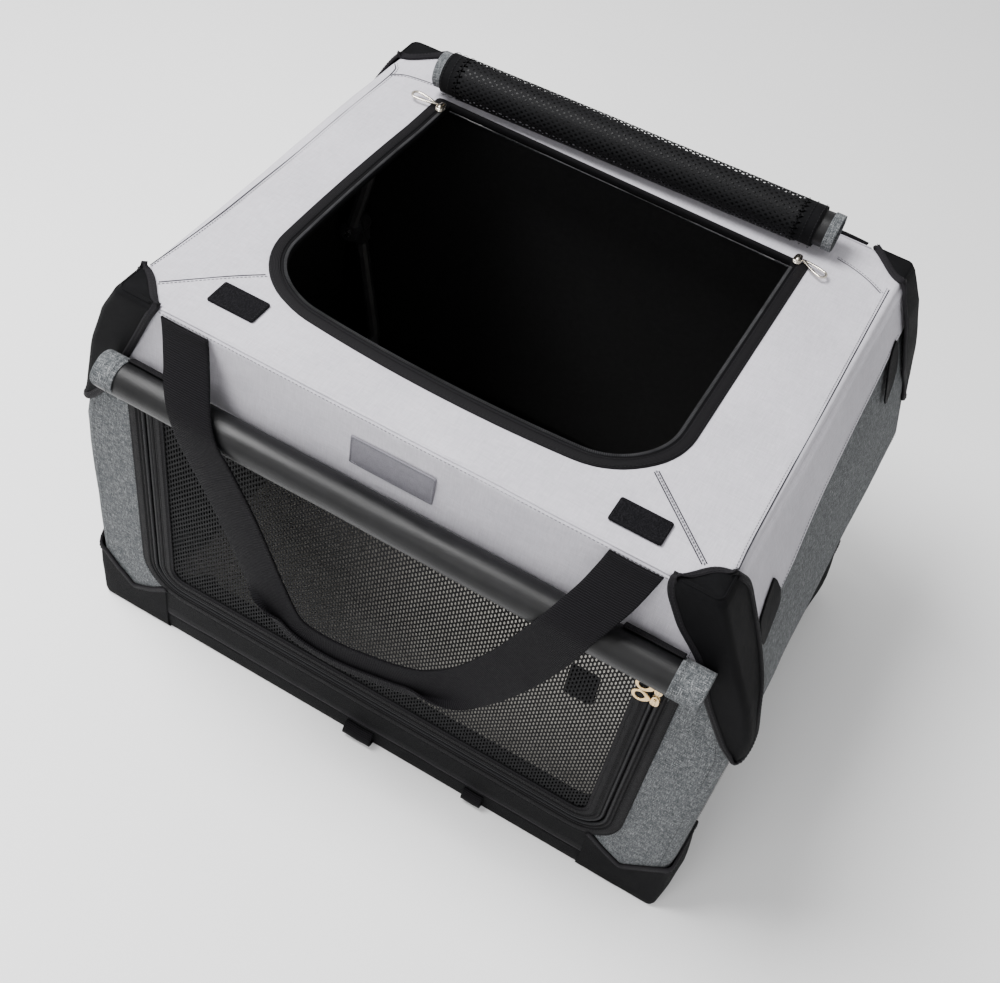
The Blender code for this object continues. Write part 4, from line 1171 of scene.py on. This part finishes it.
cap(base_cloth, 0.010)
box_uv(base_cloth)
solid(base_cloth, 0.0014, -1.0)
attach(base_cloth, "base")
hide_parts("base_tray")
lines = []
for z in (0.0212,):
    for sy in (-1, 1):
        lines.append(([(x, sy * 0.2144, z) for x in np.linspace(-0.246, 0.246, 60)], (0, sy, 0)))
    for s in (-1, 1):
        lines.append(([(s * 0.3054, y, z) for y in np.linspace(-0.158, 0.158, 60)], (s, 0, 0)))
ob = stitches("hem_stitching", lines, DARK_THREAD)
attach(ob, "base")

# black cloth between the front hem and the door's zip border, with slanting ends
rows = []
for f in np.linspace(0, 1, 7):
    xs = np.linspace(-1, 1, 90)
    top = np.interp(np.abs(xs) * 0.2640, [0.0, 0.2060, 0.2137, 0.2322, 0.2470, 0.2640], [0.0590, 0.0600, 0.0715, 0.0648, 0.0516, 0.0412])
    rows.append([(x * 0.2640, -0.2154 + 0.0003 * f, 0.0296 + (z - 0.0296) * f) for x, z in zip(xs, top)])
P = ripple(arr(rows), 53, 24.0, 0.0003)
low_panel = grid("front_low_panel", P, [HEM, INNER], uv="box", out=lambda p: (0, -1, 0))
solid(low_panel, 0.0006, -1.0, inner=1)
base_squash(low_panel)

# bound caps over the bottom corners
for tag, sx, sy in (("fl", -1, -1), ("fr", 1, -1), ("bl", -1, 1), ("br", 1, 1)):
    o, r = 0.0020, 0.005
    ring = [(x, HALF_W + o) for x in np.linspace(0.2290, HALF_L + o - r, 34)]
    ring += [(HALF_L + o - r + r * math.sin(a), HALF_W + o - r + r * math.cos(a)) for a in np.linspace(0, PI / 2, 7)[1:]]
    ring += [(HALF_L + o, y) for y in np.linspace(HALF_W + o - r, 0.148, 26)[1:]]
    ring = arr(ring)
    arc_s = np.concatenate([[0], np.cumsum(np.linalg.norm(np.diff(ring, axis=0), axis=1))])
    dip = 0.2654 if sx > 0 else 0.2680
    h = np.interp(arc_s, [0.0, 0.018, dip - 0.229, dip - 0.229 + 0.0162, 0.0690, 0.0780, 0.0880, 0.1000, 0.1120, 0.1240, arc_s[-1]],
                  [0.0650, 0.0512, 0.0399, 0.0558, 0.0728, 0.0800, 0.0930, 0.1090, 0.1130, 0.0860, 0.0310])
    h = np.convolve(np.pad(h, 1, mode="edge"), [0.2, 0.6, 0.2], mode="valid")
    bulge = np.interp(arc_s, [0.0, 0.0760, 0.0900, 0.1100, 0.1280, arc_s[-1]], [0.0, 0.0006, 0.0045, 0.0060, 0.0030, 0.0])
    rows = []
    for f in (0.0, 0.03, 0.08, 0.18, 0.3, 0.42, 0.54, 0.66, 0.78, 0.9, 1.0):
        tuck = 0.0012 * (1 - min(f / 0.08, 1.0)) ** 2
        puff = math.sin(PI * min(f * 1.05, 1.0) ** 0.8)
        rows.append([(x - tuck + b * puff, y - tuck, 0.0004 + (hh - 0.0004) * f) for (x, y), hh, b in zip(ring, h, bulge)])
    P = ripple(arr(rows), 60 + sx + 2 * sy, 34.0, 0.0005, mask=np.array([[0.0], [0.2]] + [[1.0]] * 9)) * [sx, sy, 1.0]
    cloth = grid("base_guard_" + tag, P, [GUARD, INNER], out=lambda p: (p[0], p[1], 0))
    N = grid_normals(P)
    if (N[4, 16] * arr((sx, sy, 0))).sum() < 0:
        N = -N
    solid(cloth, 0.0014, -1.0, inner=1)
    path, up = P[-1], N[-1]
    S = np.cross(tangents(path), up)
    sign = 1.0 if S[10][2] < 0 else -1.0
    tape = sweep("base_guard_tape_" + tag, path, up, [(a * 0.9, b) for a, b in TAPE_EDGE], [TAPE], side_sign=sign)
    st = stitches("base_guard_thread_" + tag, [(path + S * sign * 0.0034 + up * 0.0012, up)], DARK_THREAD)
    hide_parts("bottom_guard_" + tag)
    for q in (cloth, tape, st):
        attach(q, "base")

# pulls of webbing sewn into the front hem
for name, x0, x1, reach in (("hem_tab", -0.021, 0.009, 0.0085), ("hem_tab_small", 0.108, 0.128, 0.0060)):
    rows = []
    sec = [(0.0, 0.0190), (0.35, 0.0180), (0.75, 0.0145), (1.0, 0.0105), (0.95, 0.0065), (0.6, 0.0045), (0.0, 0.0035)]
    for x in np.linspace(x0, x1, 12):
        rows.append([(x, -0.2146 - reach * k, z + 0.0004 * math.sin(x * 300)) for k, z in sec])
    ob = grid(name, arr(rows), [WEBBING], out=lambda p: (0, -1, 0.2))
    solid(ob, 0.0018, -1.0)
    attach(ob, "base")

# plush floor pad with a piped edge
def pad_ring(hx, hy, r, z):
    return lift(rrect(hx, -hy, hy, r, r), z)


rows = [pad_ring(0.2440, 0.1750, 0.024, 0.0080), pad_ring(0.2530, 0.1840, 0.031, 0.0088), pad_ring(0.2565, 0.1875, 0.034, 0.0125),
        pad_ring(0.2570, 0.1880, 0.035, 0.0165), pad_ring(0.2545, 0.1855, 0.033, 0.0176), pad_ring(0.2570, 0.1880, 0.035, 0.0187),
        pad_ring(0.2560, 0.1870, 0.034, 0.0235), pad_ring(0.2510, 0.1820, 0.030, 0.0266)]
for f in (0.9, 0.75, 0.55, 0.35, 0.15):
    rows.append(pad_ring(0.2510 * f, 0.1820 * f, 0.030 * f, 0.0271 + 0.0006 * (1 - f)))
P = arr(rows)
mask = np.ones(P.shape[:2]) * 0.5
mask[:3] = 0.0
mask[8:] = 1.0
P = ripple(P, 71, 20.0, 0.0008, ring=True, mask=mask)
pad = grid("floor_cushion", P, [PLUSH], ring=True, uv="box", out=lambda p: (p[0] * 0.2, p[1] * 0.2, 1))
cap(pad)
box_uv(pad)
# painted shade: the pad's faces near the front take the black hem cloth, standing in for the shadow the roof's front
# band casts there, seen through the lower part of the net
pad.data.materials.append(HEM)
for face in pad.data.polygons:
    if face.center.y < -0.1650:
        face.material_index = 1
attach(pad, "base")
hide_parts("floor_pad")
pip = lift(rrect(0.2560, -0.1870, 0.1870, 0.034, 0.034, 40, 30, 10), 0.0176)
ob = sweep("cushion_piping", pip, (0, 0, 1), [(0.0014 * math.cos(a), 0.0014 * math.sin(a)) for a in np.linspace(0, 2 * PI, 8, endpoint=False)], [TAPE], closed=True)
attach(ob, "base")

# ================================================================ rolled covers
def spiral(name, x0, x1, cy, cz, radius, turns, pitch, a0, mats, nx=60, seed=1, amp=0.0006, thick=0.0009, fade=0.0, per=36, sense=1.0):
    """Cloth wound into a roll along X; the free edge lies at angle a0."""
    n = int(per * turns)
    mid = cy if callable(cy) else (lambda x: cy)
    rows = []
    for i in range(n + 1):
        t = i / per
        a = a0 + sense * 2 * PI * t
        r = radius - pitch * t
        row = []
        for x in np.linspace(x0, x1, nx):
            w = wave((x, math.cos(a) * 0.03, math.sin(a) * 0.03), seed, 16.0, amp, (0.5, 2.0, 2.0)) * (1.0 if t < 1.2 else 0.3)
            e = min(x - x0, x1 - x) / 0.03
            slack = 0.0 if fade == 0 else fade * max(0.0, 1 - e) * t
            rr = r + w - slack
            row.append((x, mid(x) + rr * math.cos(a), cz + rr * math.sin(a)))
        rows.append(row)
    ob = grid(name, arr(rows), mats, out=lambda p: (0, p[1] - mid(p[0]), p[2] - cz))
    return solid(ob, thick, -1.0)


CY, CZ0 = -0.2342, 0.3625
roll = spiral("front_cover_roll", -0.2540, 0.2660, CY, CZ0, 0.0160, 3.1, 0.0022, math.radians(-15), [LINING], seed=5, amp=0.0006)
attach(roll, "roof")
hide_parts("front_roll")
for side, xa, xb, sd, am in (("left", -0.2568, -0.2365, 81, 0.0016), ("right", 0.2440, 0.2692, 83, 0.0009)):
    ob = spiral("front_roll_hem_" + side, xa, xb, CY, CZ0, 0.0168, 2.6, 0.0026, math.radians(-15), [HEATHER], nx=20, seed=sd, amp=am, thick=0.0012)
    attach(ob, "roof")
    x_in = xb - 0.0035 if side == "left" else xa + 0.0035
    ln = []
    for xx in (x_in,):
        aa = np.linspace(math.radians(60), math.radians(330), 60)
        ln.append(([(xx, CY + (0.0172 + wave((xx, math.cos(a) * 0.03, math.sin(a) * 0.03), sd, 16.0, am, (0.5, 2.0, 2.0))) * math.cos(a),
                     CZ0 + (0.0172 + wave((xx, math.cos(a) * 0.03, math.sin(a) * 0.03), sd, 16.0, am, (0.5, 2.0, 2.0))) * math.sin(a)) for a in aa],
                   [(0, math.cos(a), math.sin(a)) for a in aa]))
    st = stitches("front_roll_hem_thread_" + side, ln, HEATHER_THREAD)
    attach(st, "roof")

# the cover's zip tape lies along the top of the roll at its ends
for side, xa, xb in (("left", -0.2365, -0.182), ("right", 0.196, 0.2445)):
    a = math.radians(54)
    path = [(x, CY + 0.0172 * math.cos(a) + wave((x, 0, 0), 7, 30, 0.0003), CZ0 + 0.0172 * math.sin(a)) for x in np.linspace(xa, xb, 24)]
    ob = sweep("front_roll_zip_" + side, path, (0, math.cos(a), math.sin(a)), tape_profile(0.0095, 0.0016), [ZIPTAPE])
    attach(ob, "roof")

BZ = 0.4563


def back_y(x):
    """The back roll lies at a slight slant across the roof."""
    return 0.1635 + (x + 0.196) / 0.382 * 0.0165


core = spiral("hatch_cover_roll", -0.1930, 0.1830, back_y, BZ, 0.0170, 3.4, 0.0024, math.radians(-90), [LINING], seed=9, amp=0.0006)
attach(core, "roof")
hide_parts("back_roll")
for side, xa, xb in (("left", -0.1958, -0.1868), ("right", 0.1772, 0.1858)):
    ob = spiral("hatch_roll_hem_" + side, xa, xb, back_y, BZ, 0.0178, 1.4, 0.0022, math.radians(-90), [HEATHER], nx=8, seed=87, amp=0.0008, thick=0.0013)
    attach(ob, "roof")

NR = 0.0187
x_l, x_r = -0.1720, 0.1520
du, n_ang = 0.0066, 44
dv = 2 * PI * NR / n_ang * 2


def sleeve_point(u, v, h):
    a = v / NR + math.radians(20)
    r = NR + h + wave((u, math.cos(a) * 0.03, math.sin(a) * 0.03), 13, 18.0, 0.0005, (0.5, 2, 2))
    return (u, back_y(u) + r * math.cos(a), BZ + r * math.sin(a))


cells = [(c, r) for c in range(-60, 60) for r in range(n_ang) if (c + r) % 2 == 0 and x_l <= c * du / 2 <= x_r]
sleeve = net("hatch_net_sleeve", cells, sleeve_point, NET, du / 2, dv, (0.00150, 0.00092), 0.00020, wrap=n_ang)
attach(sleeve, "roof")
for side, xa, xb, rr in (("left", -0.1875, -0.1690, 0.0192), ("right", 0.1490, 0.1690, 0.0192)):
    ob = spiral("hatch_roll_cuff_" + side, xa, xb, back_y, BZ, rr, 1.15, 0.0016, math.radians(-90), [HEM], nx=12, seed=89, amp=0.0005, thick=0.0013)
    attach(ob, "roof")
    ln = []
    for xx in (xa + 0.002, xb - 0.002, (xa + xb) / 2):
        aa = np.linspace(math.radians(-80), math.radians(260), 70)
        ln.append(([(xx, back_y(xx) + (rr + 0.0002) * math.cos(a), BZ + (rr + 0.0002) * math.sin(a)) for a in aa], [(0, math.cos(a), math.sin(a)) for a in aa]))
    st = stitches("hatch_cuff_thread_" + side, ln, DARK_THREAD)
    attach(st, "roof")

# ================================================================ patches on the roof
def soft_rect(x0, x1, y0, y1, z, n=44, r=0.0016):
    c = ((x0 + x1) / 2, (y0 + y1) / 2)
    q = rrect((x1 - x0) / 2, -(y1 - y0) / 2, (y1 - y0) / 2, r, r, 12, 8, 3)
    return lift(q + arr(c), z)


for side, x0, x1, y0, y1 in (("left", -0.1930, -0.1512, -0.1846, -0.1604), ("right", 0.1540, 0.1960, -0.1945, -0.1712)):
    ob = tabs_box("roof_hook_patch_" + side, soft_rect(x0, x1, y0, y1, TOP_Z + 0.0002), 0.0017, (0, 0, 1), HOOK)
    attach(ob, "roof")
    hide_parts("top_patch_" + side)
    q = soft_rect(x0 + 0.0016, x1 - 0.0016, y0 + 0.0016, y1 - 0.0016, TOP_Z + 0.0019)
    st = stitches("roof_hook_thread_" + side, [(np.concatenate([q, q[:1]]), (0, 0, 1))], DARK_THREAD)
    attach(st, "roof")

# bare label patch
rows = []
q = rrect(0.0365, -0.01475, 0.01475, 0.0012, 0.0012, 16, 8, 3)
cx, cz = -0.0055, 0.39625
for k, h in ((1.0, 0.0), (1.0, 0.0007), (0.985, 0.0012), (0.94, 0.0013), (0.90, 0.0010), (0.84, 0.0012), (0.5, 0.0014), (0.15, 0.0015)):
    rows.append([(cx + x * (1 - (1 - k) * 0.01475 / 0.0365 * 1.2), -0.2146 - h, cz + y * (1 - (1 - k) * 1.0)) for x, y in q])
ob = grid("label_patch_cloth", arr(rows), [LABEL], ring=True, uv="box", out=lambda p: (0, -1, 0))
cap(ob)
box_uv(ob)
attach(ob, "roof")
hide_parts("label_patch")
q2 = arr([(cx + x * 0.972, -0.2160, cz + y * 0.90) for x, y in q])
st = stitches("label_thread", [(np.concatenate([q2, q2[:1]]), (0, -1, 0))], PALE_THREAD, pitch=0.0024, length=0.0018)
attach(st, "roof")

# zip ends that show below the end bands
for s, side in ((-1, "left"), (1, "right")):
    for sy, tag in ((-1, "front"), (1, "back")):
        if sy < 0:
            zs = [0.3905, 0.3860, 0.3740, 0.3592, 0.3520, 0.3423, 0.3500, 0.3640, 0.3783, 0.3850]
            ys = [0.1346, 0.1310, 0.1268, 0.1259, 0.1370, 0.1565, 0.1625, 0.1665, 0.1667, 0.1520]
        else:
            zs = [0.4000, 0.3950, 0.3850, 0.3740, 0.3640, 0.3540, 0.3620, 0.3750, 0.3880, 0.3970]
            ys = [0.1560, 0.1600, 0.1590, 0.1530, 0.1440, 0.1290, 0.1230, 0.1250, 0.1330, 0.1460]
        q = resample([(s * (end_x(z) + 0.0012), sy * y, z) for y, z in zip(ys, zs)], n=40, closed=True)
        ob = tabs_box(f"end_zip_tab_{side}_{tag}", q, 0.0014, (s, 0, 0.35), GUARD)
        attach(ob, "roof")

# ================================================================ webbing handles
PATH = [(-0.188, 0.2182, 0.4344), (-0.1850, 0.2215, 0.4230), (-0.1770, 0.2320, 0.4060), (-0.1680, 0.2440, 0.3905), (-0.1590, 0.2520, 0.3765),
        (-0.1520, 0.2534, 0.3600), (-0.1440, 0.2532, 0.3450), (-0.1330, 0.2526, 0.3230), (-0.1210, 0.2520, 0.2980), (-0.1090, 0.2518, 0.2700),
        (-0.0980, 0.2515, 0.2430), (-0.0860, 0.2512, 0.2150), (-0.0740, 0.2508, 0.1940), (-0.0600, 0.2503, 0.1815), (-0.0400, 0.2502, 0.1765),
        (-0.0150, 0.2502, 0.1775), (0.0150, 0.2502, 0.1845), (0.0450, 0.2502, 0.1940), (0.0700, 0.2505, 0.2070), (0.0900, 0.2508, 0.2250),
        (0.1070, 0.2512, 0.2480), (0.1210, 0.2516, 0.2720), (0.1350, 0.2520, 0.3000), (0.1450, 0.2525, 0.3240), (0.1530, 0.2532, 0.3450),
        (0.1585, 0.2534, 0.3600), (0.1640, 0.2520, 0.3765), (0.1710, 0.2440, 0.3905), (0.1790, 0.2320, 0.4060), (0.1850, 0.2215, 0.4230),
        (0.188, 0.2182, 0.4344)]


def handle(name, sy, node, body):
    P = smooth_path([(x, sy * y, z) for x, y, z in PATH], 190)
    T = tangents(P)
    n = len(P)
    length = np.concatenate([[0], np.cumsum(np.linalg.norm(np.diff(P, axis=0), axis=1))])
    f = length / length[-1]
    flat = np.cross(arr((0, sy, 0)), T)
    flat = unit(flat)
    ex = arr((1.0, 0, 0)) * np.sign(flat[:, :1] + 1e-9)
    k = np.clip((0.17 - np.minimum(f, 1 - f)) / 0.06, 0, 1)[:, None]
    A = unit(flat * (1 - k) + ex * k)
    O = unit(np.cross(T, A))
    O *= np.sign((O * arr((0, sy, 0.3))).sum(1, keepdims=True))
    # how far the lower part of the width is turned up in front, along the grip
    g = np.clip((P[:, 0] + 0.090) / 0.020, 0, 1) * np.clip((0.104 - P[:, 0]) / 0.058, 0, 1)
    g = g * g * (3 - 2 * g)
    w, t = 0.042, 0.0019
    lip, bend = 0.0125, 0.0046
    across = np.concatenate([np.linspace(-w / 2, -w / 2 + lip - bend, 6)[:-1], np.linspace(-w / 2 + lip - bend, -w / 2 + lip, 8)[:-1],
                             np.linspace(-w / 2 + lip, w / 2, 11)])
    down = A * sy
    rows = []
    for i in range(n):
        row, th = [], PI * g[i] * 0.985
        for c in across:
            rest = -w / 2 + lip - c
            curl = 0.0008 * (1 - g[i]) * (abs(c) * 2 / w) ** 2
            if rest <= 0 or th < 0.02:
                row.append(P[i] - down[i] * c - O[i] * curl)
                continue
            q = min(rest, bend)
            a, rad = th * q / bend, bend / th
            dn, ou = math.sin(a) * rad, (1 - math.cos(a)) * rad
            if rest > bend:
                dn += math.cos(th) * (rest - bend)
                ou += math.sin(th) * (rest - bend) * 0.55
            row.append(P[i] + down[i] * (w / 2 - lip + dn) + O[i] * (ou - curl))
        rows.append(row)
    R = arr(rows)
    R += (O * arr([wave(p, 17, 14.0, 0.0006) for p in P])[:, None])[:, None, :]
    # columns run along the strap, so that the ribs lie across it
    ob = grid(name, R.transpose(1, 0, 2), [WEBBING], out=lambda p: (0, sy, 0.2))
    solid(ob, t, 0.0)
    # rows of thread that hold the turned-up grip
    lines = []
    for x0 in (-0.0640, -0.0610, 0.0320, 0.0350):
        i = int(np.argmin(np.abs(P[:, 0] - x0)))
        a = P[i] + down[i] * (w / 2 - lip - 0.0002) + O[i] * 0.0043
        lines.append(([a, a - down[i] * 0.0070], (0, sy, 0)))
    i0, i1 = (int(np.argmin(np.abs(P[:, 0] - x0))) for x0 in (-0.0610, 0.0320))
    lines.append(([P[i] - down[i] * -(w / 2 - lip - 0.0062) + O[i] * 0.0043 for i in range(i0, i1, 2)], (0, sy, 0)))
    st = stitches(name + "_thread", lines, DARK_THREAD)
    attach(st, body)
    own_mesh(st)
    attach(ob, body)
    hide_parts(node)
    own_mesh(ob)


handle("front_carry_strap", -1, "front_handle", "handle_front")
handle("back_carry_strap", 1, "back_handle", "handle_back")

# ================================================================ zip sliders and pulls
def ring_plate(name, outer, hole, thick, place, mat):
    """Stamped ring with rounded edges: two outlines with the same number of points."""
    o, h = arr(outer), arr(hole)
    lvl = [(0.0, 0.0, -0.5), (0.18, 0.0, -0.5), (0.0, 0.0, -0.28), (0.0, 0.0, 0.28), (0.18, 0.0, 0.5)]
    sec = [(0.22, -0.5), (0.04, -0.36), (0.0, -0.15), (0.0, 0.15), (0.04, 0.36), (0.22, 0.5), (0.78, 0.5), (0.96, 0.36), (1.0, 0.15),
           (1.0, -0.15), (0.96, -0.36), (0.78, -0.5)]
    rows = []
    for f, hgt in sec:
        q = o * (1 - f) + h * f
        rows.append([place(x, y, hgt * thick) for x, y in q])
    ob = grid(name, arr(rows), [mat], ring=True, tube=True)
    bm = bmesh.new()
    bm.from_mesh(ob.data)
    bmesh.ops.recalc_face_normals(bm, faces=bm.faces)
    bm.to_mesh(ob.data)
    bm.free()
    return ob


def pull_outlines(width, length, neck, rim):
    """Drop-shaped pull reaching to -x from its hinge at x = 0."""
    n = 40
    outer, hole = [], []
    for i in range(n):
        a = 2 * PI * i / n
        c, s = math.cos(a), math.sin(a)
        cx, r = -length + width / 2, width / 2
        x = cx + (r if c < 0 else (length - width / 2 + 0.0006)) * c
        k = max(0.0, c)
        y = s * (r * (1 - k * k) + neck / 2 * k * k)
        outer.append((x, y))
        r2 = r - rim
        x2 = cx + (r2 if c < 0 else (length - width / 2 - 0.0040)) * c
        hole.append((x2, s * (r2 * (1 - k * k * 0.6))))
    return outer, hole


def slider(name, place, mat, long=0.012, wide=0.008, high=0.0044):
    """Zip slider: two shells with a bridge over them; place(along, across, up)."""
    rows = []
    for z, k in ((0.0, 0.90), (0.10, 1.0), (0.34, 1.0), (0.42, 0.86), (0.50, 0.86), (0.58, 1.0), (0.74, 1.0), (0.80, 0.90)):
        ring = []
        for i in range(28):
            a = 2 * PI * i / 28
            c, s = math.cos(a), math.sin(a)
            x = math.copysign(abs(c) ** 0.75, c) * long / 2 * k
            taper = 1.0 - 0.22 * (x / (long / 2) + 1) / 2
            y = math.copysign(abs(s) ** 0.75, s) * wide / 2 * k * taper
            ring.append(place(x, y, z * high))
        rows.append(ring)
    body = cap(grid(name, arr(rows), [mat], ring=True))
    bridge_path = [place(long * q, 0.0, high * h) for q, h in ((-0.33, 0.74), (-0.30, 0.96), (-0.16, 1.12), (0.10, 1.12), (0.26, 0.98), (0.30, 0.74))]
    p0, p1 = arr(place(0, 0, 0)), arr(place(0, 0, 1))
    br = sweep(name + "_bridge", smooth_path(bridge_path, 20), p1 - p0 + arr((1e-4, 1e-4, 1e-4)),
               [(0.0012 * math.cos(a), 0.0006 * math.sin(a)) for a in np.linspace(0, 2 * PI, 10, endpoint=False)], [mat])
    return body, br


for tag, z0 in (("low", 0.2990), ("high", 0.3130)):
    sgn = 1 if tag == "low" else -1
    place = lambda a, b, h, z0=z0, sgn=sgn: (0.2365 + b, -0.2150 - h, z0 + a * sgn)
    body, br = slider("door_zip_slider_" + tag, place, GOLD)
    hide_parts("door_slider_" + tag)
    hinge = (0.2350, -0.2193, z0)
    o, h = pull_outlines(0.0138, 0.0152, 0.0102, 0.0030)
    pl = lambda x, y, t, z0=z0: (0.2326 + x, -0.2184 - t + 0.02 * x, z0 + y)
    ring = ring_plate("door_zip_pull_" + tag, o, h, 0.0019, pl, GOLD)
    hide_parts("door_pull_" + tag)
    for q in (body, br):
        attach(q, "slider_door_" + tag)
    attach(ring, "pull_door_" + tag)
    for q in (body, br, ring):
        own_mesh(q)

for side, s, sx0, sy0, turn in (("left", -1, -0.1785, 0.1380, 0.0), ("right", 1, 0.1655, 0.1520, math.radians(-22))):
    place = lambda a, b, h, s=s, sx0=sx0, sy0=sy0: (sx0 + b * s, sy0 + a, 0.4362 + h)
    body, br = slider("hatch_zip_slider_" + side, place, NICKEL, 0.012, 0.0082, 0.0042)
    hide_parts("roof_slider_" + side)
    o, h = pull_outlines(0.0108, 0.0262, 0.0056, 0.0022)

    def pl(x, y, t, s=s, sx0=sx0, sy0=sy0, turn=turn):
        u, v = -x * math.cos(turn) - y * math.sin(turn), -x * math.sin(turn) + y * math.cos(turn)
        return (sx0 + s * (0.0044 + u), sy0 + v, 0.4394 + t - x * 0.02)

    ring = ring_plate("hatch_zip_pull_" + side, o, h, 0.0018, pl, NICKEL)
    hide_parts("roof_pull_" + side)
    for q in (body, br):
        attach(q, "slider_roof_" + side)
    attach(ring, "pull_roof_" + side)

# ================================================================ frame parts keep their shape
for node, mat in [("base_frame", STEEL), ("top_frame", STEEL), ("floor_board", BOARD)] + \
        [(n, PLASTIC) for n in ("base_clip_left", "base_clip_right", "top_clip_left", "top_clip_right")] + \
        [(n, STEEL) for n in ("leg_lower_left", "leg_lower_right", "leg_upper_left", "leg_upper_right")] + \
        [("knuckle_" + t, PLASTIC) for t in ("fl", "fr", "bl", "br")] + [("knee_button_" + t, PIN) for t in ("fl", "fr", "bl", "br")]:
    ob = NODES[node]
    ob.data.materials.clear()
    ob.data.materials.append(mat)

# ================================================================ stage
bpy.ops.mesh.primitive_plane_add(size=12.0, location=(0, 0, 0))
floor = bpy.context.object
floor.name = "studio_floor"
fm_ = Mat("studio_floor_paint", vec="object", rough=0.85, spec=0.2)
fm_.colour(fm_.mix(fm_.span(fm_.noise(3.0, 3.0, 0.5), 0.3, 0.7), (0.93, 0.93, 0.935), (0.95, 0.95, 0.95)))
floor.data.materials.append(fm_.m)
floor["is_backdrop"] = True

world = bpy.data.worlds.new("studio")
bpy.context.scene.world = world
world.use_nodes = True
world.node_tree.nodes["Background"].inputs[0].default_value = (1.0, 1.0, 1.0, 1.0)
world.node_tree.nodes["Background"].inputs[1].default_value = 0.75


def area(name, loc, look, size, power):
    d = bpy.data.lights.new(name, "AREA")
    d.shape = "DISK"
    d.size = size
    d.energy = power
    o = bpy.data.objects.new(name, d)
    o.location = loc
    o.rotation_euler = (Vector(look) - Vector(loc)).to_track_quat("-Z", "Y").to_euler()
    bpy.context.scene.collection.objects.link(o)


area("key_softbox", (-0.85, -0.35, 2.1), (0, 0, 0.2), 1.1, 95)
area("fill_softbox", (-0.3, -1.9, 1.3), (0, 0, 0.2), 1.2, 16)

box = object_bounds()
as_list = lambda b: json.loads(json.dumps(b, default=lambda v: [float(q) for q in v]))
{"cad": as_list(cad_box), "visual": as_list(box)}
